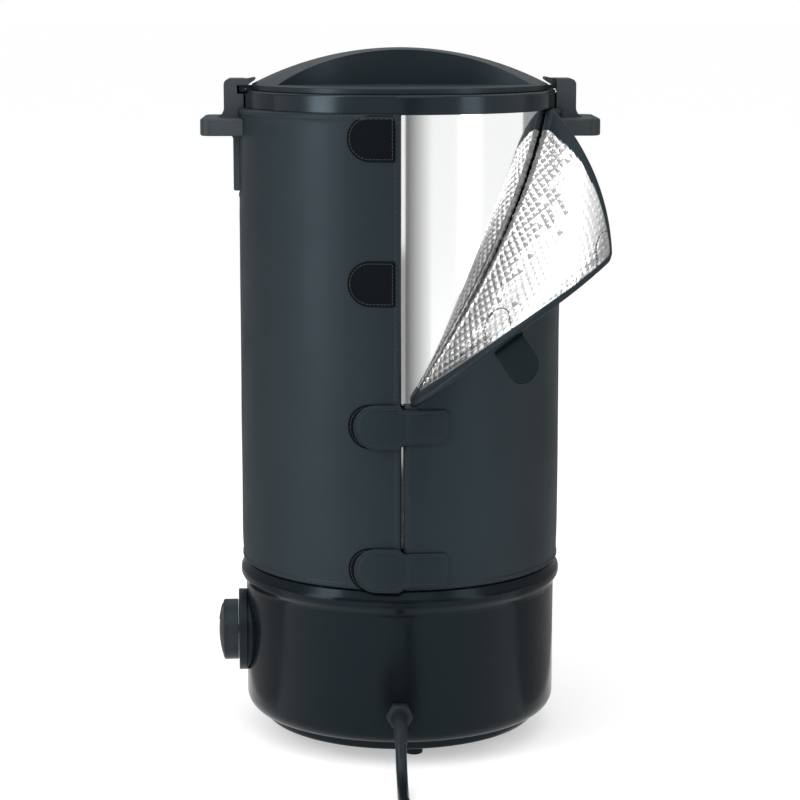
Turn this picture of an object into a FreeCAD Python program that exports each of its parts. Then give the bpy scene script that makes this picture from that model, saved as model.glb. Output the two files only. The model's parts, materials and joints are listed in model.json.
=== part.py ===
import FreeCAD, Part
import math
import os

# Candle wax melter: a mirror steel tank in a padded wrap, on a black heater base, with a twist-lock
# lid, two side handles, a thermostat knob, a pouring tap and a mains lead.
# Millimetres. +Z up, origin on the tank's axis at the surface the feet stand on.
# The opening of the wrap and the mains lead face -Y, the tap faces +Y, the knob is at -X.

V = FreeCAD.Vector
UP = V(0, 0, 1)
ORIGIN = V(0, 0, 0)

# ---- clearances ----
SOFT_GAP = 0.4              # between the wrap and what it lies on
TURN_GAP = 0.4              # between turning and fixed plastic
SHAFT_GAP = 0.05            # running fit of a shaft
HOLE_GAP = 0.1              # fixed pins and screws in their holes

# ---- overall sizes ----
TANK_R = 95.0               # outer radius of the steel tank
TANK_HEIGHT = 299.4
FOOT_HEIGHT = 8.8
BASE_HEIGHT = 96.9          # base shell, from its underside to the top of its bead

# ---- base shell, cover and feet ----
COVER_DEPTH = 6.2           # how far the cover stands out below the shell
COVER_SHEET = 2.0
BASE_BOTTOM_Z = FOOT_HEIGHT + COVER_DEPTH
BASE_TOP_Z = BASE_BOTTOM_Z + BASE_HEIGHT
BASE_WALL = 1.8
BASE_R = TANK_R + 3.3       # outer radius of the base shell
BASE_EDGE_RADIUS = 9.3      # rounding between the base wall and its underside
BEAD_STEP = 3.2             # how far the rolled bead stands out of the wall
BEAD_HEIGHT = 14.4
BEAD_R = BASE_R + BEAD_STEP
COVER_R = BASE_R - 11.3
FOOT_R = 6.2
FOOT_CIRCLE = COVER_R - 22.0
FOOT_ANGLES = (-82.3, 7.7, 97.7, 187.7)
BASE_SCREW_R = 1.7
BASE_SCREW_CIRCLE = COVER_R - 8.5
BASE_FLANGE_R = BASE_SCREW_CIRCLE - 8.0     # inner radius of the shell's turned-in underside
VENT_COUNT = 12
VENT_LENGTH = 22.0
VENT_CIRCLE = FOOT_CIRCLE - FOOT_R - VENT_LENGTH / 2 - 6.0
VENT_WIDTH = 4.0

# ---- tank and rim band ----
TANK_WALL = 1.0
TANK_CORNER = 6.0           # rounding of the tank's floor
SEAT_DEPTH = 5.9            # how deep the tank stands in the base's collar
SEAT_WIDTH = 11.0           # width of the ledge that carries the tank
SEAT_THICKNESS = 2.0
TANK_SEAT_Z = BASE_TOP_Z - SEAT_DEPTH
TANK_TOP_Z = TANK_SEAT_Z + TANK_HEIGHT
SEAT_R = TANK_R - SEAT_WIDTH
BAND_WALL = 1.3
BAND_TOP = 2.0              # thickness of the band over the rim
BAND_HEIGHT = 11.4
BAND_R = TANK_R + BAND_WALL
BAND_TOP_Z = TANK_TOP_Z + BAND_TOP
BAND_BOTTOM_Z = BAND_TOP_Z - BAND_HEIGHT
MOUTH_R = TANK_R - 7.5      # clear mouth inside the band

# ---- lid ----
LID_R = BAND_R - 4.8
LID_LIP = 3.6
LIP_TOP_Z = BAND_TOP_Z + LID_LIP
DOME_R = LID_R - 0.5        # where the dome springs from the lip
DOME_RISE = 22.0
LID_WALL = 2.4
LID_SKIRT_DEPTH = 6.0
GRIP_HALF = 20.0            # half width of the grip bridge at its waist
SCOOP_R = 120.0             # plan radius of each finger scoop
SCOOP_FLOOR = 0.7           # height of the scoop floor over the lip
GRIP_TURN = 3.5             # degrees, direction of the grip bridge

# ---- handles ----
HANDLE_ANGLES = (181.0, 1.0)
POST_WIDTH = 24.0
POST_R = TANK_R + 13.5
LEG_R = TANK_R + 8.0
LEG_LENGTH = 34.5
WING_R = TANK_R + 27.5
WING_WIDTH = 58.0
WING_CORNER = 7.0
WING_THICKNESS = 10.5
WING_EDGE = 1.3             # rounding of the wing's upper and lower edges
WING_BOTTOM_Z = TANK_TOP_Z - 25.4
LEG_BOTTOM_Z = WING_BOTTOM_Z - LEG_LENGTH
HANDLE_TOP_Z = BAND_TOP_Z + 6.6
HOOK_R = LID_R - 2.0        # inner tip of the hook over the lid
HOOK_WALL = 3.5             # stop wall at the closed side of the hook
EAR_WIDTH = POST_WIDTH - 2 * HOOK_WALL - 1.0
EAR_THICKNESS = 2.0
EAR_NOSE = 2.2              # thickness of the nose that hangs over the band
EAR_DROP = 1.5              # how far the nose hangs below the rim
EAR_R = BAND_R + 2 * TURN_GAP + EAR_NOSE
STUD_R = 2.5
STUD_LENGTH = 6.0
STUD_HEIGHTS = (LEG_BOTTOM_Z + 10.5, LEG_BOTTOM_Z + 40.5)

# ---- wrap ----
WRAP_THICKNESS = 4.6
WRAP_INNER_R = TANK_R + SOFT_GAP
WRAP_R = WRAP_INNER_R + WRAP_THICKNESS
WRAP_BOTTOM_Z = BASE_TOP_Z + SOFT_GAP
WRAP_TOP_Z = BAND_BOTTOM_Z - 1.0
SLIT_X = 1.5                # where the wrap opens, on the -Y side
SLIT_WIDTH = 1.2
STRAP_LENGTH = 56.5
STRAP_WIDTH = 27.0
STRAP_END_WIDTH = 21.0
STRAP_THICKNESS = 1.8
STRAP_TOP_INSET = 12.4      # from the wrap's top edge to the middle of the first strap
STRAP_LOW_INSET = 13.2      # from its bottom edge to the middle of the last one
STRAP_SPREAD = WRAP_TOP_Z - STRAP_TOP_INSET - WRAP_BOTTOM_Z - STRAP_LOW_INSET
STRAP_SHARES = (0.0, 0.33, 0.661, 1.0)      # places of the four straps, from the first to the last
STRAP_HEIGHTS = [WRAP_TOP_Z - STRAP_TOP_INSET - share * STRAP_SPREAD for share in STRAP_SHARES]
STRAP_SEAM = 3.0            # how far an open strap is sewn in behind the flap's edge
PATCH_LENGTH = 30.0
PATCH_THICKNESS = 0.9
FOLD_FOOT_X = 8.4           # the fold starts beside the slit, at the third strap's upper edge
FOLD_FOOT_Z = STRAP_HEIGHTS[2] + STRAP_WIDTH / 2 - 0.6
FOLD_HEAD_ANGLE = -21.5     # degrees, where the fold meets the top edge
FOLD_LIFT = 1.3             # height of the flap's middle over the wrap at the fold
FLAP_THICKNESS = 4.0
FLAP_SHARES = (0.0, 0.22, 0.45, 0.7, 0.93)      # rows of the flap between the fold and the corner
CORNER_DROP = V(30.0, -45.3, -84.0)     # from the fold's head to the folded-back corner
SLIT_EDGE_BOW = V(3.0, -34.0, 4.0)      # bulge of the flap's slit edge off a straight line
TOP_EDGE_BOW = V(6.5, -5.0, 6.5)        # bulge of its top edge

# ---- heater ----
HEATER_R = SEAT_R - 8.0
HEATER_THICKNESS = 6.0
HEATER_LOW_Z = TANK_SEAT_Z - HEATER_THICKNESS
ELEMENT_CIRCLE = HEATER_R - 22.0
ELEMENT_R = 4.0
ELEMENT_GAP = 40.0          # degrees between the element's two legs
TERMINAL_ANGLE = 215.0
HEATER_STUD_R = 3.0
SHIELD_R = SEAT_R - 4.0
SHIELD_Z = HEATER_LOW_Z - 18.5
SHIELD_SHEET = 1.0
CUTOFF_CIRCLE = ELEMENT_CIRCLE / 2
CUTOFF_ANGLE = 60.0

# ---- thermostat and knob ----
KNOB_ANGLE = 184.0
KNOB_R = 19.3
KNOB_HEIGHT = 12.3
KNOB_DOME = 3.3             # how far its domed front rises
BEZEL_R = KNOB_R + 6.6
BEZEL_THICKNESS = 5.2
BEZEL_FACE_R = BASE_R + 5.2     # distance of the bezel's face from the tank axis
SHAFT_R = 3.0
BUSHING_R = SHAFT_R + 2.0
THERMOSTAT_SIDE = 34.0
THERMOSTAT_DEPTH = 22.0
KNOB_Z = SHIELD_Z - THERMOSTAT_SIDE / 2 - 1.0
THERMOSTAT_FRONT_R = BASE_R - 10.3      # distance of the case's front from the tank axis
SENSOR_R = 3.0

# ---- tap ----
TAP_ANGLE = 90.0
TAP_Z = TANK_SEAT_Z + 30.0
SHANK_R = 8.0
SHANK_BORE = SHANK_R - 2.5
BARREL_R = SHANK_R + 1.5
TAP_FLANGE_R = SHANK_R + 6.0
TAP_WASHER = 3.0
TAP_WASHER_R = TAP_FLANGE_R - 1.0
TAP_AXIS_R = TANK_R + 31.0      # distance of the valve's axis from the tank axis
PLUG_R = SHANK_BORE + 2.0
TOWER_R = PLUG_R + 4.0
TOWER_LOW_Z = TAP_Z - BARREL_R - 2.5
TOWER_TOP_Z = TAP_Z + BARREL_R + 4.5
STEM_R = 4.0
TAP_CAP_HEIGHT = 3.2
SPOUT_BORE = 6.0
SPOUT_R = SPOUT_BORE + 2.0
SPOUT_LENGTH = 22.0
LEVER_LENGTH = 42.0
LEVER_THICKNESS = 5.0

# ---- mains lead ----
CORD_R = 3.4
GLAND_Z = BASE_BOTTOM_Z + 20.2
GLAND_R = CORD_R + 3.9
GLAND_NECK_R = CORD_R + 2.6
GLAND_LENGTH = 7.0
CORD_ROUTE = [(0.1, -110.5, 35.2), (0.5, -118.5, 30.4), (0.7, -123.0, 23.5), (0.9, -128.0, 14.8),
              (1.4, -136.0, 7.6), (1.9, -148.0, 4.0), (2.4, -168.0, 3.5), (12.0, -194.0, 3.5),
              (30.0, -212.0, 3.5), (37.6, -236.0, 3.5), (37.6, -246.0, 3.5)]
COIL_CENTRE = (0.0, -244.0)
COIL_R = 37.6               # radius at the middle of the turns
COIL_LAYERS = 2
TAIL_START = (37.6, -250.0, 10.4)
TAIL_MIDDLE = (37.2, -288.0, 11.2)
TAIL_END = (36.0, -304.0, 12.5)
PLUG_LENGTH = 36.0
PLUG_WIDTH = 27.0
PLUG_HEIGHT = 25.0


# ---- helpers ----
def in_xz(u, v):
    """Sketch plane through the axis: u is the radius, v the height."""
    return V(u, 0, v)


def in_xy(u, v):
    """Horizontal sketch plane at height 0."""
    return V(u, v, 0)


def in_yz(u, v):
    """Upright sketch plane across the radius: u is sideways, v the height."""
    return V(0, u, v)


def unit(vector):
    """The same direction with length one."""
    return vector * (1.0 / vector.Length)


def rounded_wire(corners, place):
    """Closed wire through corners (u, v, radius), each rounded by an arc of its radius."""
    count = len(corners)
    stretches = []
    for i, (u, v, radius) in enumerate(corners):
        here = V(u, v, 0)
        back = unit(V(*corners[i - 1][:2], 0) - here)
        ahead = unit(V(*corners[(i + 1) % count][:2], 0) - here)
        half = back.getAngle(ahead) / 2
        reach = radius / math.tan(half)
        middle = here
        if radius > 0:
            middle = here + unit(back + ahead) * (radius / math.sin(half) - radius)
        stretches.append((here + back * reach, middle, here + ahead * reach, radius))
    edges = []
    for i, (start, middle, end, radius) in enumerate(stretches):
        following = stretches[(i + 1) % count][0]
        if radius > 0:
            arc = [place(p.x, p.y) for p in (start, middle, end)]
            edges.append(Part.Arc(*arc).toShape())
        if (following - end).Length > 1e-6:
            edges.append(Part.makeLine(place(end.x, end.y), place(following.x, following.y)))
    return Part.Wire(edges)


def turned(corners):
    """Solid turned about the Z axis from a profile of (radius, height, rounding) corners."""
    return Part.Face(rounded_wire(corners, in_xz)).revolve(ORIGIN, UP, 360)


def prism(corners, place, start, along):
    """Solid made by pushing a rounded outline from start along a vector."""
    face = Part.Face(rounded_wire(corners, place))
    face.translate(start)
    return face.extrude(along)


def rod(radius, start, along):
    """Round bar from start along a vector."""
    return Part.makeCylinder(radius, along.Length, start, along)


def tube(outer, inner, start, along):
    """Round tube from start along a vector."""
    return rod(outer, start, along).cut(rod(inner, start, along))


def hexagon(across_flats, start, along):
    """Hexagonal bar from start along X, Y or Z."""
    corner_r = across_flats / math.sqrt(3)
    nut = Part.makePolygon([V(corner_r * math.cos(k * math.pi / 3), corner_r * math.sin(k * math.pi / 3), 0)
                            for k in range(7)])
    face = Part.Face(nut)
    face.Placement = FreeCAD.Placement(start, FreeCAD.Rotation(UP, along))
    return face.extrude(along)


def box(low, high):
    """Block between two opposite corners."""
    return Part.makeBox(high[0] - low[0], high[1] - low[1], high[2] - low[2], V(*low))


def around(shape, angle):
    """Copy of a shape turned about the tank axis."""
    copy = shape.copy()
    copy.rotate(ORIGIN, UP, angle)
    return copy


def joined(shapes):
    """One solid from overlapping shapes."""
    first, rest = shapes[0], shapes[1:]
    return first.fuse(rest).removeSplitter()


def rounded_path(points):
    """Straight runs joined by tangent arcs, and the radius of each arc."""
    spots = [V(*p) for p in points]
    edges, radii, last = [], [], spots[0]
    for before, here, after in zip(spots, spots[1:], spots[2:]):
        back, ahead = before - here, after - here
        turn = math.pi - back.getAngle(ahead)
        reach = 0.45 * min(back.Length, ahead.Length)
        start = here + unit(back) * reach
        end = here + unit(ahead) * reach
        radius = reach / math.tan(turn / 2)
        middle = here + unit(unit(back) + unit(ahead)) * (radius / math.cos(turn / 2) - radius)
        edges += [Part.makeLine(last, start), Part.Arc(start, middle, end).toShape()]
        radii.append(radius)
        last = end
    edges.append(Part.makeLine(last, spots[-1]))
    return Part.Wire(edges), radii


def bent_tube(points, radius, report=""):
    """Round bar that follows a rounded path; prints its bend radii when it has a name."""
    path, radii = rounded_path(points)
    start, following = V(*points[0]), V(*points[1])
    section = Part.Wire(Part.makeCircle(radius, start, following - start))
    solid = path.makePipeShell([section], True, True)
    if report:
        exact = math.pi * radius ** 2 * path.Length
        print(report, "length", round(path.Length, 1), "radii", [round(r, 1) for r in radii],
              "volume over section x length", round(solid.Volume / exact, 4))
    return solid


# ---- base ----
def base_shell():
    """Black shell with a rounded foot edge, a rolled bead and the ledge that carries the tank."""
    collar_r = TANK_R + HOLE_GAP
    inner_r = BASE_R - BASE_WALL
    bead_z = BASE_TOP_Z - BEAD_HEIGHT
    shell = turned([
        (BASE_FLANGE_R, BASE_BOTTOM_Z, 0), (BASE_R, BASE_BOTTOM_Z, BASE_EDGE_RADIUS),
        (BASE_R, bead_z, 6.0), (BEAD_R, bead_z + 5.0, 5.0), (BEAD_R, BASE_TOP_Z - 5.5, 5.0),
        (BEAD_R - 3.0, BASE_TOP_Z, 1.2), (collar_r, BASE_TOP_Z, 0.5),
        (collar_r, TANK_SEAT_Z, 0), (SEAT_R, TANK_SEAT_Z, 0), (SEAT_R, TANK_SEAT_Z - SEAT_THICKNESS, 0),
        (inner_r, TANK_SEAT_Z - SEAT_THICKNESS - 2.0, 0),
        (inner_r, BASE_BOTTOM_Z + BASE_WALL, BASE_EDGE_RADIUS - BASE_WALL),
        (BASE_FLANGE_R, BASE_BOTTOM_Z + BASE_WALL, 0)])
    cuts = [rod(GLAND_NECK_R + HOLE_GAP, V(0, -BASE_R + 10, GLAND_Z), V(0, -20, 0)),
            around(rod(BUSHING_R + HOLE_GAP, V(BASE_R - 10, 0, KNOB_Z), V(20, 0, 0)), KNOB_ANGLE)]
    for angle in base_screw_angles():
        cuts.append(around(rod(BASE_SCREW_R + HOLE_GAP, V(BASE_SCREW_CIRCLE, 0, 0), UP * 30), angle))
    return shell.cut(cuts)


def base_screw_angles():
    """Screws sit midway between the feet."""
    return [angle + 45.0 for angle in FOOT_ANGLES]


def base_cover():
    """Dished cover plate under the base, with vent slots and screw bosses."""
    plate = turned([
        (0, FOOT_HEIGHT, 0), (COVER_R, FOOT_HEIGHT, 2.5), (COVER_R, BASE_BOTTOM_Z, 0),
        (COVER_R - COVER_SHEET, BASE_BOTTOM_Z, 0), (COVER_R - COVER_SHEET, FOOT_HEIGHT + COVER_SHEET, 0.5),
        (0, FOOT_HEIGHT + COVER_SHEET, 0)])
    slot = prism([(VENT_CIRCLE - VENT_LENGTH / 2, -VENT_WIDTH / 2, VENT_WIDTH * 0.45),
                  (VENT_CIRCLE + VENT_LENGTH / 2, -VENT_WIDTH / 2, VENT_WIDTH * 0.45),
                  (VENT_CIRCLE + VENT_LENGTH / 2, VENT_WIDTH / 2, VENT_WIDTH * 0.45),
                  (VENT_CIRCLE - VENT_LENGTH / 2, VENT_WIDTH / 2, VENT_WIDTH * 0.45)],
                 in_xy, V(0, 0, FOOT_HEIGHT - 1), UP * (COVER_SHEET + 2))
    boss = rod(BASE_SCREW_R + 2.5, V(BASE_SCREW_CIRCLE, 0, FOOT_HEIGHT), UP * (BASE_BOTTOM_Z - FOOT_HEIGHT))
    hole = rod(BASE_SCREW_R + HOLE_GAP, V(BASE_SCREW_CIRCLE, 0, 0), UP * 30)
    plate = joined([plate] + [around(boss, angle) for angle in base_screw_angles()])
    cuts = [around(hole, angle) for angle in base_screw_angles()]
    cuts += [around(slot, k * 360.0 / VENT_COUNT + 15.0) for k in range(VENT_COUNT)]
    return plate.cut(cuts)


def feet():
    """Four rubber feet, wider at the top."""
    foot = turned([(0, 0, 0), (FOOT_R - 0.8, 0, 0.8), (FOOT_R, FOOT_HEIGHT, 0), (0, FOOT_HEIGHT, 0)])
    foot.translate(V(FOOT_CIRCLE, 0, 0))
    return Part.makeCompound([around(foot, angle) for angle in FOOT_ANGLES])


def base_screws():
    """Four pan-head screws that hold the cover to the base shell."""
    head_height = 1.8
    head_r = BASE_SCREW_R + 1.5
    tip_z = BASE_BOTTOM_Z + 8
    screw = turned([(0, FOOT_HEIGHT - head_height, 0), (head_r, FOOT_HEIGHT - head_height, 0.9),
                    (head_r, FOOT_HEIGHT, 0), (BASE_SCREW_R, FOOT_HEIGHT, 0), (BASE_SCREW_R, tip_z, 0.4),
                    (0, tip_z, 0)])
    recess = Part.makeBox(4.0, 0.8, 0.8, V(-2.0, -0.4, FOOT_HEIGHT - head_height))
    screw = screw.cut(recess)
    screw.translate(V(BASE_SCREW_CIRCLE, 0, 0))
    return Part.makeCompound([around(screw, angle) for angle in base_screw_angles()])


# ---- tank ----
def tank():
    """Drawn steel pot with a rounded floor and a hole for the tap."""
    inner_r = TANK_R - TANK_WALL
    floor_z = TANK_SEAT_Z + TANK_WALL
    pot = turned([
        (0, TANK_SEAT_Z, 0), (TANK_R, TANK_SEAT_Z, TANK_CORNER), (TANK_R, TANK_TOP_Z, 0),
        (inner_r, TANK_TOP_Z, 0), (inner_r, floor_z, TANK_CORNER - TANK_WALL), (0, floor_z, 0)])
    hole = rod(SHANK_R + HOLE_GAP, V(TANK_R - 20, 0, TAP_Z), V(40, 0, 0))
    return pot.cut(around(hole, TAP_ANGLE))


def rim_band():
    """Black band that caps the tank's rim and carries the lid."""
    return turned([
        (TANK_R, BAND_BOTTOM_Z, 0), (BAND_R, BAND_BOTTOM_Z, 0.3), (BAND_R, BAND_TOP_Z, 1.2),
        (MOUTH_R, BAND_TOP_Z, 0.8), (MOUTH_R, TANK_TOP_Z, 0.4), (TANK_R, TANK_TOP_Z, 0)])


# ---- lid ----
def dome(radius, rise, base_z):
    """Solid spherical cap that rises from base_z."""
    ball_r = (radius ** 2 + rise ** 2) / (2 * rise)
    ball = Part.makeSphere(ball_r, V(0, 0, base_z + rise - ball_r))
    return ball.common(Part.makeCylinder(radius + 1, rise + 1, V(0, 0, base_z)))


def scoops(radius, floor_z):
    """The two finger scoops, one each side of the grip bridge."""
    centre = GRIP_HALF + SCOOP_R
    pair = [Part.makeCylinder(radius, DOME_RISE * 2, V(0, side * centre, floor_z)) for side in (-1, 1)]
    return [around(scoop, GRIP_TURN) for scoop in pair]


def ear():
    """Locking ear with a nose that hangs over the band, pointing along X."""
    low_z = BAND_TOP_Z + TURN_GAP
    top_z = low_z + EAR_THICKNESS
    nose_r = EAR_R - EAR_NOSE
    return prism([(LID_R - 6, low_z, 0), (nose_r, low_z, 0.3), (nose_r, BAND_TOP_Z - EAR_DROP, 0.4),
                  (EAR_R, BAND_TOP_Z - EAR_DROP, 0.8), (EAR_R, top_z, 1.2), (LID_R - 6, top_z, 0)],
                 in_xz, V(0, -EAR_WIDTH / 2, 0), V(0, EAR_WIDTH, 0))


def lid():
    """Domed lid with a grip bridge between two finger scoops, a skirt and two locking ears."""
    floor_z = LIP_TOP_Z + SCOOP_FLOOR
    form = joined([dome(DOME_R, DOME_RISE, LIP_TOP_Z - 0.01),
                   turned([(0, BAND_TOP_Z, 0), (LID_R, BAND_TOP_Z, 0.6), (LID_R, LIP_TOP_Z, 0.5),
                           (0, LIP_TOP_Z, 0)])])
    form = form.cut(scoops(SCOOP_R, floor_z))
    hollow = dome(DOME_R - LID_WALL, DOME_RISE - 0.4, LIP_TOP_Z - LID_WALL)
    hollow = hollow.cut(scoops(SCOOP_R + LID_WALL, floor_z - LID_WALL))
    pocket_r = MOUTH_R - 5.0
    skirt = tube(MOUTH_R - 3.0, pocket_r, V(0, 0, BAND_TOP_Z - LID_SKIRT_DEPTH), UP * (LID_SKIRT_DEPTH + 1))
    under = Part.makeCylinder(pocket_r, LID_LIP - LID_WALL + 0.5, V(0, 0, BAND_TOP_Z - 0.5))
    body = form.cut([hollow.common(Part.makeCylinder(pocket_r, 60, V(0, 0, BAND_TOP_Z))), under])
    ears = [around(ear(), angle) for angle in HANDLE_ANGLES]
    return joined([body, skirt] + ears)


def lid_seal():
    """Silicone ring round the lid's skirt, with two lips."""
    skirt_r = MOUTH_R - 3.0
    lip_r = MOUTH_R - SOFT_GAP
    top_z = BAND_TOP_Z - 0.1
    low_z = BAND_TOP_Z - LID_SKIRT_DEPTH + 0.6
    return turned([(skirt_r, low_z, 0), (lip_r, low_z + 0.6, 0.3), (skirt_r + 1.2, low_z + 1.8, 0.2),
                   (skirt_r + 1.2, top_z - 1.8, 0.2), (lip_r, top_z - 0.8, 0.3), (skirt_r, top_z, 0)])


# ---- handles ----
def handle():
    """Side handle along +X: leg on the tank, paddle-shaped wing, post and hook over the lid."""
    step_z = BAND_BOTTOM_Z - 0.5
    post_inner = BAND_R + HOLE_GAP
    wing_top = WING_BOTTOM_Z + WING_THICKNESS
    web = prism([
        (TANK_R, LEG_BOTTOM_Z, 0.6), (LEG_R, LEG_BOTTOM_Z, 1.2), (LEG_R, WING_BOTTOM_Z, 3.0),
        (WING_R - 9, WING_BOTTOM_Z, 0), (WING_R - 9, wing_top, 0), (POST_R, wing_top, 6.0),
        (POST_R, HANDLE_TOP_Z, 3.5), (post_inner, HANDLE_TOP_Z, 0.8), (post_inner, step_z, 0),
        (TANK_R, step_z, 0)], in_xz, V(0, -POST_WIDTH / 2, 0), V(0, POST_WIDTH, 0))
    wing = prism([
        (WRAP_R - 6, -WING_WIDTH / 2, 0), (WING_R, -WING_WIDTH / 2, WING_CORNER),
        (WING_R, WING_WIDTH / 2, WING_CORNER), (WRAP_R - 6, WING_WIDTH / 2, 0)],
        in_xy, V(0, 0, WING_BOTTOM_Z), UP * WING_THICKNESS)
    level_edges = [edge for edge in wing.Edges if edge.BoundBox.ZLength < 1e-6]
    wing = wing.makeFillet(WING_EDGE, level_edges)
    wing = wing.cut(Part.makeCylinder(WRAP_R + SOFT_GAP, 60, V(0, 0, WING_BOTTOM_Z - 20)))
    body = joined([web, wing])
    body = body.cut([Part.makeCylinder(TANK_R, 60, V(0, 0, LEG_BOTTOM_Z - 5)), hook_window()]
                    + stud_holes())
    return joined([body, hook_tongue()])


def hook_window():
    """Opening in the post that the ear turns into, closed at the stop wall."""
    low_z = BAND_TOP_Z - EAR_DROP - 1.0
    stop = -POST_WIDTH / 2 + HOOK_WALL
    return box((BAND_R - 2, stop, low_z), (EAR_R + 1.0, POST_WIDTH / 2 + 1, hook_underside()))


def hook_underside():
    """Height of the hook's underside, just over the ear."""
    return BAND_TOP_Z + EAR_THICKNESS + 2 * TURN_GAP


def hook_tongue():
    """Tongue over the lid's rim, level with the post, with a blunt tip that is relieved underneath."""
    low_z = hook_underside()
    tip_z = HANDLE_TOP_Z + 1.0
    start = -POST_WIDTH / 2 + HOOK_WALL + 4.0
    return prism([(EAR_R + 3, low_z, 0), (HOOK_R + 4.4, low_z, 1.0), (HOOK_R, low_z + 3.0, 0.8),
                  (HOOK_R, tip_z, 0.9), (HOOK_R + 5.0, HANDLE_TOP_Z, 1.5), (EAR_R + 3, HANDLE_TOP_Z, 0)],
                 in_xz, V(0, start, 0), V(0, POST_WIDTH / 2 - start, 0))


def stud_holes():
    """Blind holes in the leg for the tank's weld studs."""
    return [rod(STUD_R + HOLE_GAP, V(TANK_R - 5, 0, z), V(STUD_LENGTH + 5.5, 0, 0)) for z in STUD_HEIGHTS]


def handle_studs():
    """Weld studs on the tank that hold the two handles."""
    studs = [rod(STUD_R, V(TANK_R, 0, z), V(STUD_LENGTH, 0, 0)) for z in STUD_HEIGHTS]
    return Part.makeCompound([around(stud, angle) for stud in studs for angle in HANDLE_ANGLES])


# ---- wrap ----
def fold_point(share, radius=WRAP_R):
    """Point on the fold line, which climbs evenly round the wrap from the slit to the top edge."""
    foot_angle = -math.degrees(math.acos(FOLD_FOOT_X / WRAP_R))
    angle = math.radians(foot_angle + (FOLD_HEAD_ANGLE - foot_angle) * share)
    climb = (WRAP_TOP_Z - FOLD_FOOT_Z) * share
    return V(radius * math.cos(angle), radius * math.sin(angle), FOLD_FOOT_Z + climb)


def peeled_corner():
    """Prism along Y over the corner that is folded away."""
    foot, middle, head = [fold_point(share) for share in (0, 0.5, 1)]
    fold = Part.Arc(*[V(p.x, 0, p.z) for p in (foot, middle, head)]).toShape()
    rim = Part.makePolygon([V(head.x, 0, head.z), V(head.x, 0, head.z + 5), V(SLIT_X, 0, head.z + 5),
                            V(SLIT_X, 0, foot.z), V(foot.x, 0, foot.z)])
    return Part.Face(Part.Wire([fold] + rim.Edges)).extrude(V(0, -WRAP_R - 10, 0))


def wrap_shell():
    """Padded wrap round the tank, open at the slit, with notches for the handles and the tap."""
    shell = tube(WRAP_R, WRAP_INNER_R, V(0, 0, WRAP_BOTTOM_Z), UP * (WRAP_TOP_Z - WRAP_BOTTOM_Z))
    notch_half = POST_WIDTH / 2 + 2 * SOFT_GAP
    notch = box((TANK_R - 10, -notch_half, LEG_BOTTOM_Z - SOFT_GAP),
                (WRAP_R + 10, notch_half, WRAP_TOP_Z + 5))
    cuts = [around(notch, angle) for angle in HANDLE_ANGLES]
    slit_start = SLIT_X - SLIT_WIDTH / 2
    cuts.append(box((slit_start, -WRAP_R - 10, 0), (slit_start + SLIT_WIDTH, 0, WRAP_TOP_Z + 5)))
    cuts.append(peeled_corner())
    tap_hole = rod(TAP_FLANGE_R + 2.5, V(TANK_R - 20, 0, TAP_Z), V(40, 0, 0))
    cuts.append(around(tap_hole, TAP_ANGLE))
    return shell.cut(cuts)


def arc_point(a, b, c, share):
    """Point at a share of the way along the arc from a to c through b."""
    curve = Part.Arc(a, b, c)
    first, last = curve.FirstParameter, curve.LastParameter
    return curve.value(first + (last - first) * share)


def flap_row(share):
    """Five points across the flap, from its slit edge to its top edge, a share of the way out."""
    foot, head = fold_point(0), fold_point(1)
    corner = head + CORNER_DROP
    low = arc_point(foot, (foot + corner) * 0.5 + SLIT_EDGE_BOW, corner, share)
    high = arc_point(head, (head + corner) * 0.5 + TOP_EDGE_BOW, corner, share)
    row = []
    for t in (0, 0.25, 0.5, 0.75, 1):
        swell = fold_point(t, WRAP_R + FOLD_LIFT) - (foot + (head - foot) * t)
        row.append(low + (high - low) * t + swell * (1 - share) ** 0.7)
    return row


def jacket_flap():
    """The folded-back corner of the wrap, a bowed sheet with its lining outwards."""
    rows = [flap_row(share) for share in FLAP_SHARES]
    sections, caps = [], []
    for i, row in enumerate(rows):
        ahead = rows[min(i + 1, len(rows) - 1)]
        behind = rows[max(i - 1, 0)]
        front, back = [], []
        for j, spot in enumerate(row):
            along = row[min(j + 1, len(row) - 1)] - row[max(j - 1, 0)]
            normal = unit((ahead[j] - behind[j]).cross(along)) * (FLAP_THICKNESS / 2)
            front.append(spot + normal)
            back.append(spot - normal)
        near, far = Part.BSplineCurve(), Part.BSplineCurve()
        near.interpolate(front)
        far.interpolate(back)
        ends = [Part.makeLine(front[0], back[0]), Part.makeLine(front[-1], back[-1])]
        sections.append(Part.Wire(Part.sortEdges([near.toShape(), far.toShape()] + ends)[0]))
        caps.append(Part.makeRuledSurface(near.toShape(), far.toShape()))
    sides = Part.makeLoft(sections, False, False)
    shell = Part.makeShell(sides.Faces + [caps[0], caps[-1]])
    shell.sewShape()
    return Part.makeSolid(shell)


def strap_outline(left, right, width, end_width):
    """Rounded tongue: a half-round left end and a squarer right end, centred on height 0."""
    middle = (left + right) / 2
    return [(left, -width / 2, width * 0.49), (middle, -width / 2, 0),
            (middle, -end_width / 2, 0), (right, -end_width / 2, 6.0), (right, end_width / 2, 6.0),
            (middle, end_width / 2, 0), (middle, width / 2, 0), (left, width / 2, width * 0.49)]


def on_wrap(outline, inner_r, outer_r, z):
    """Thin plate that lies on the -Y side of a cylinder, with an outline of (x, z) corners."""
    sheet = tube(outer_r, inner_r, V(0, 0, z - 40), UP * 80)
    return sheet.common(prism(outline, in_xz, V(0, 0, z), V(0, -WRAP_R - 20, 0)))


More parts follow.
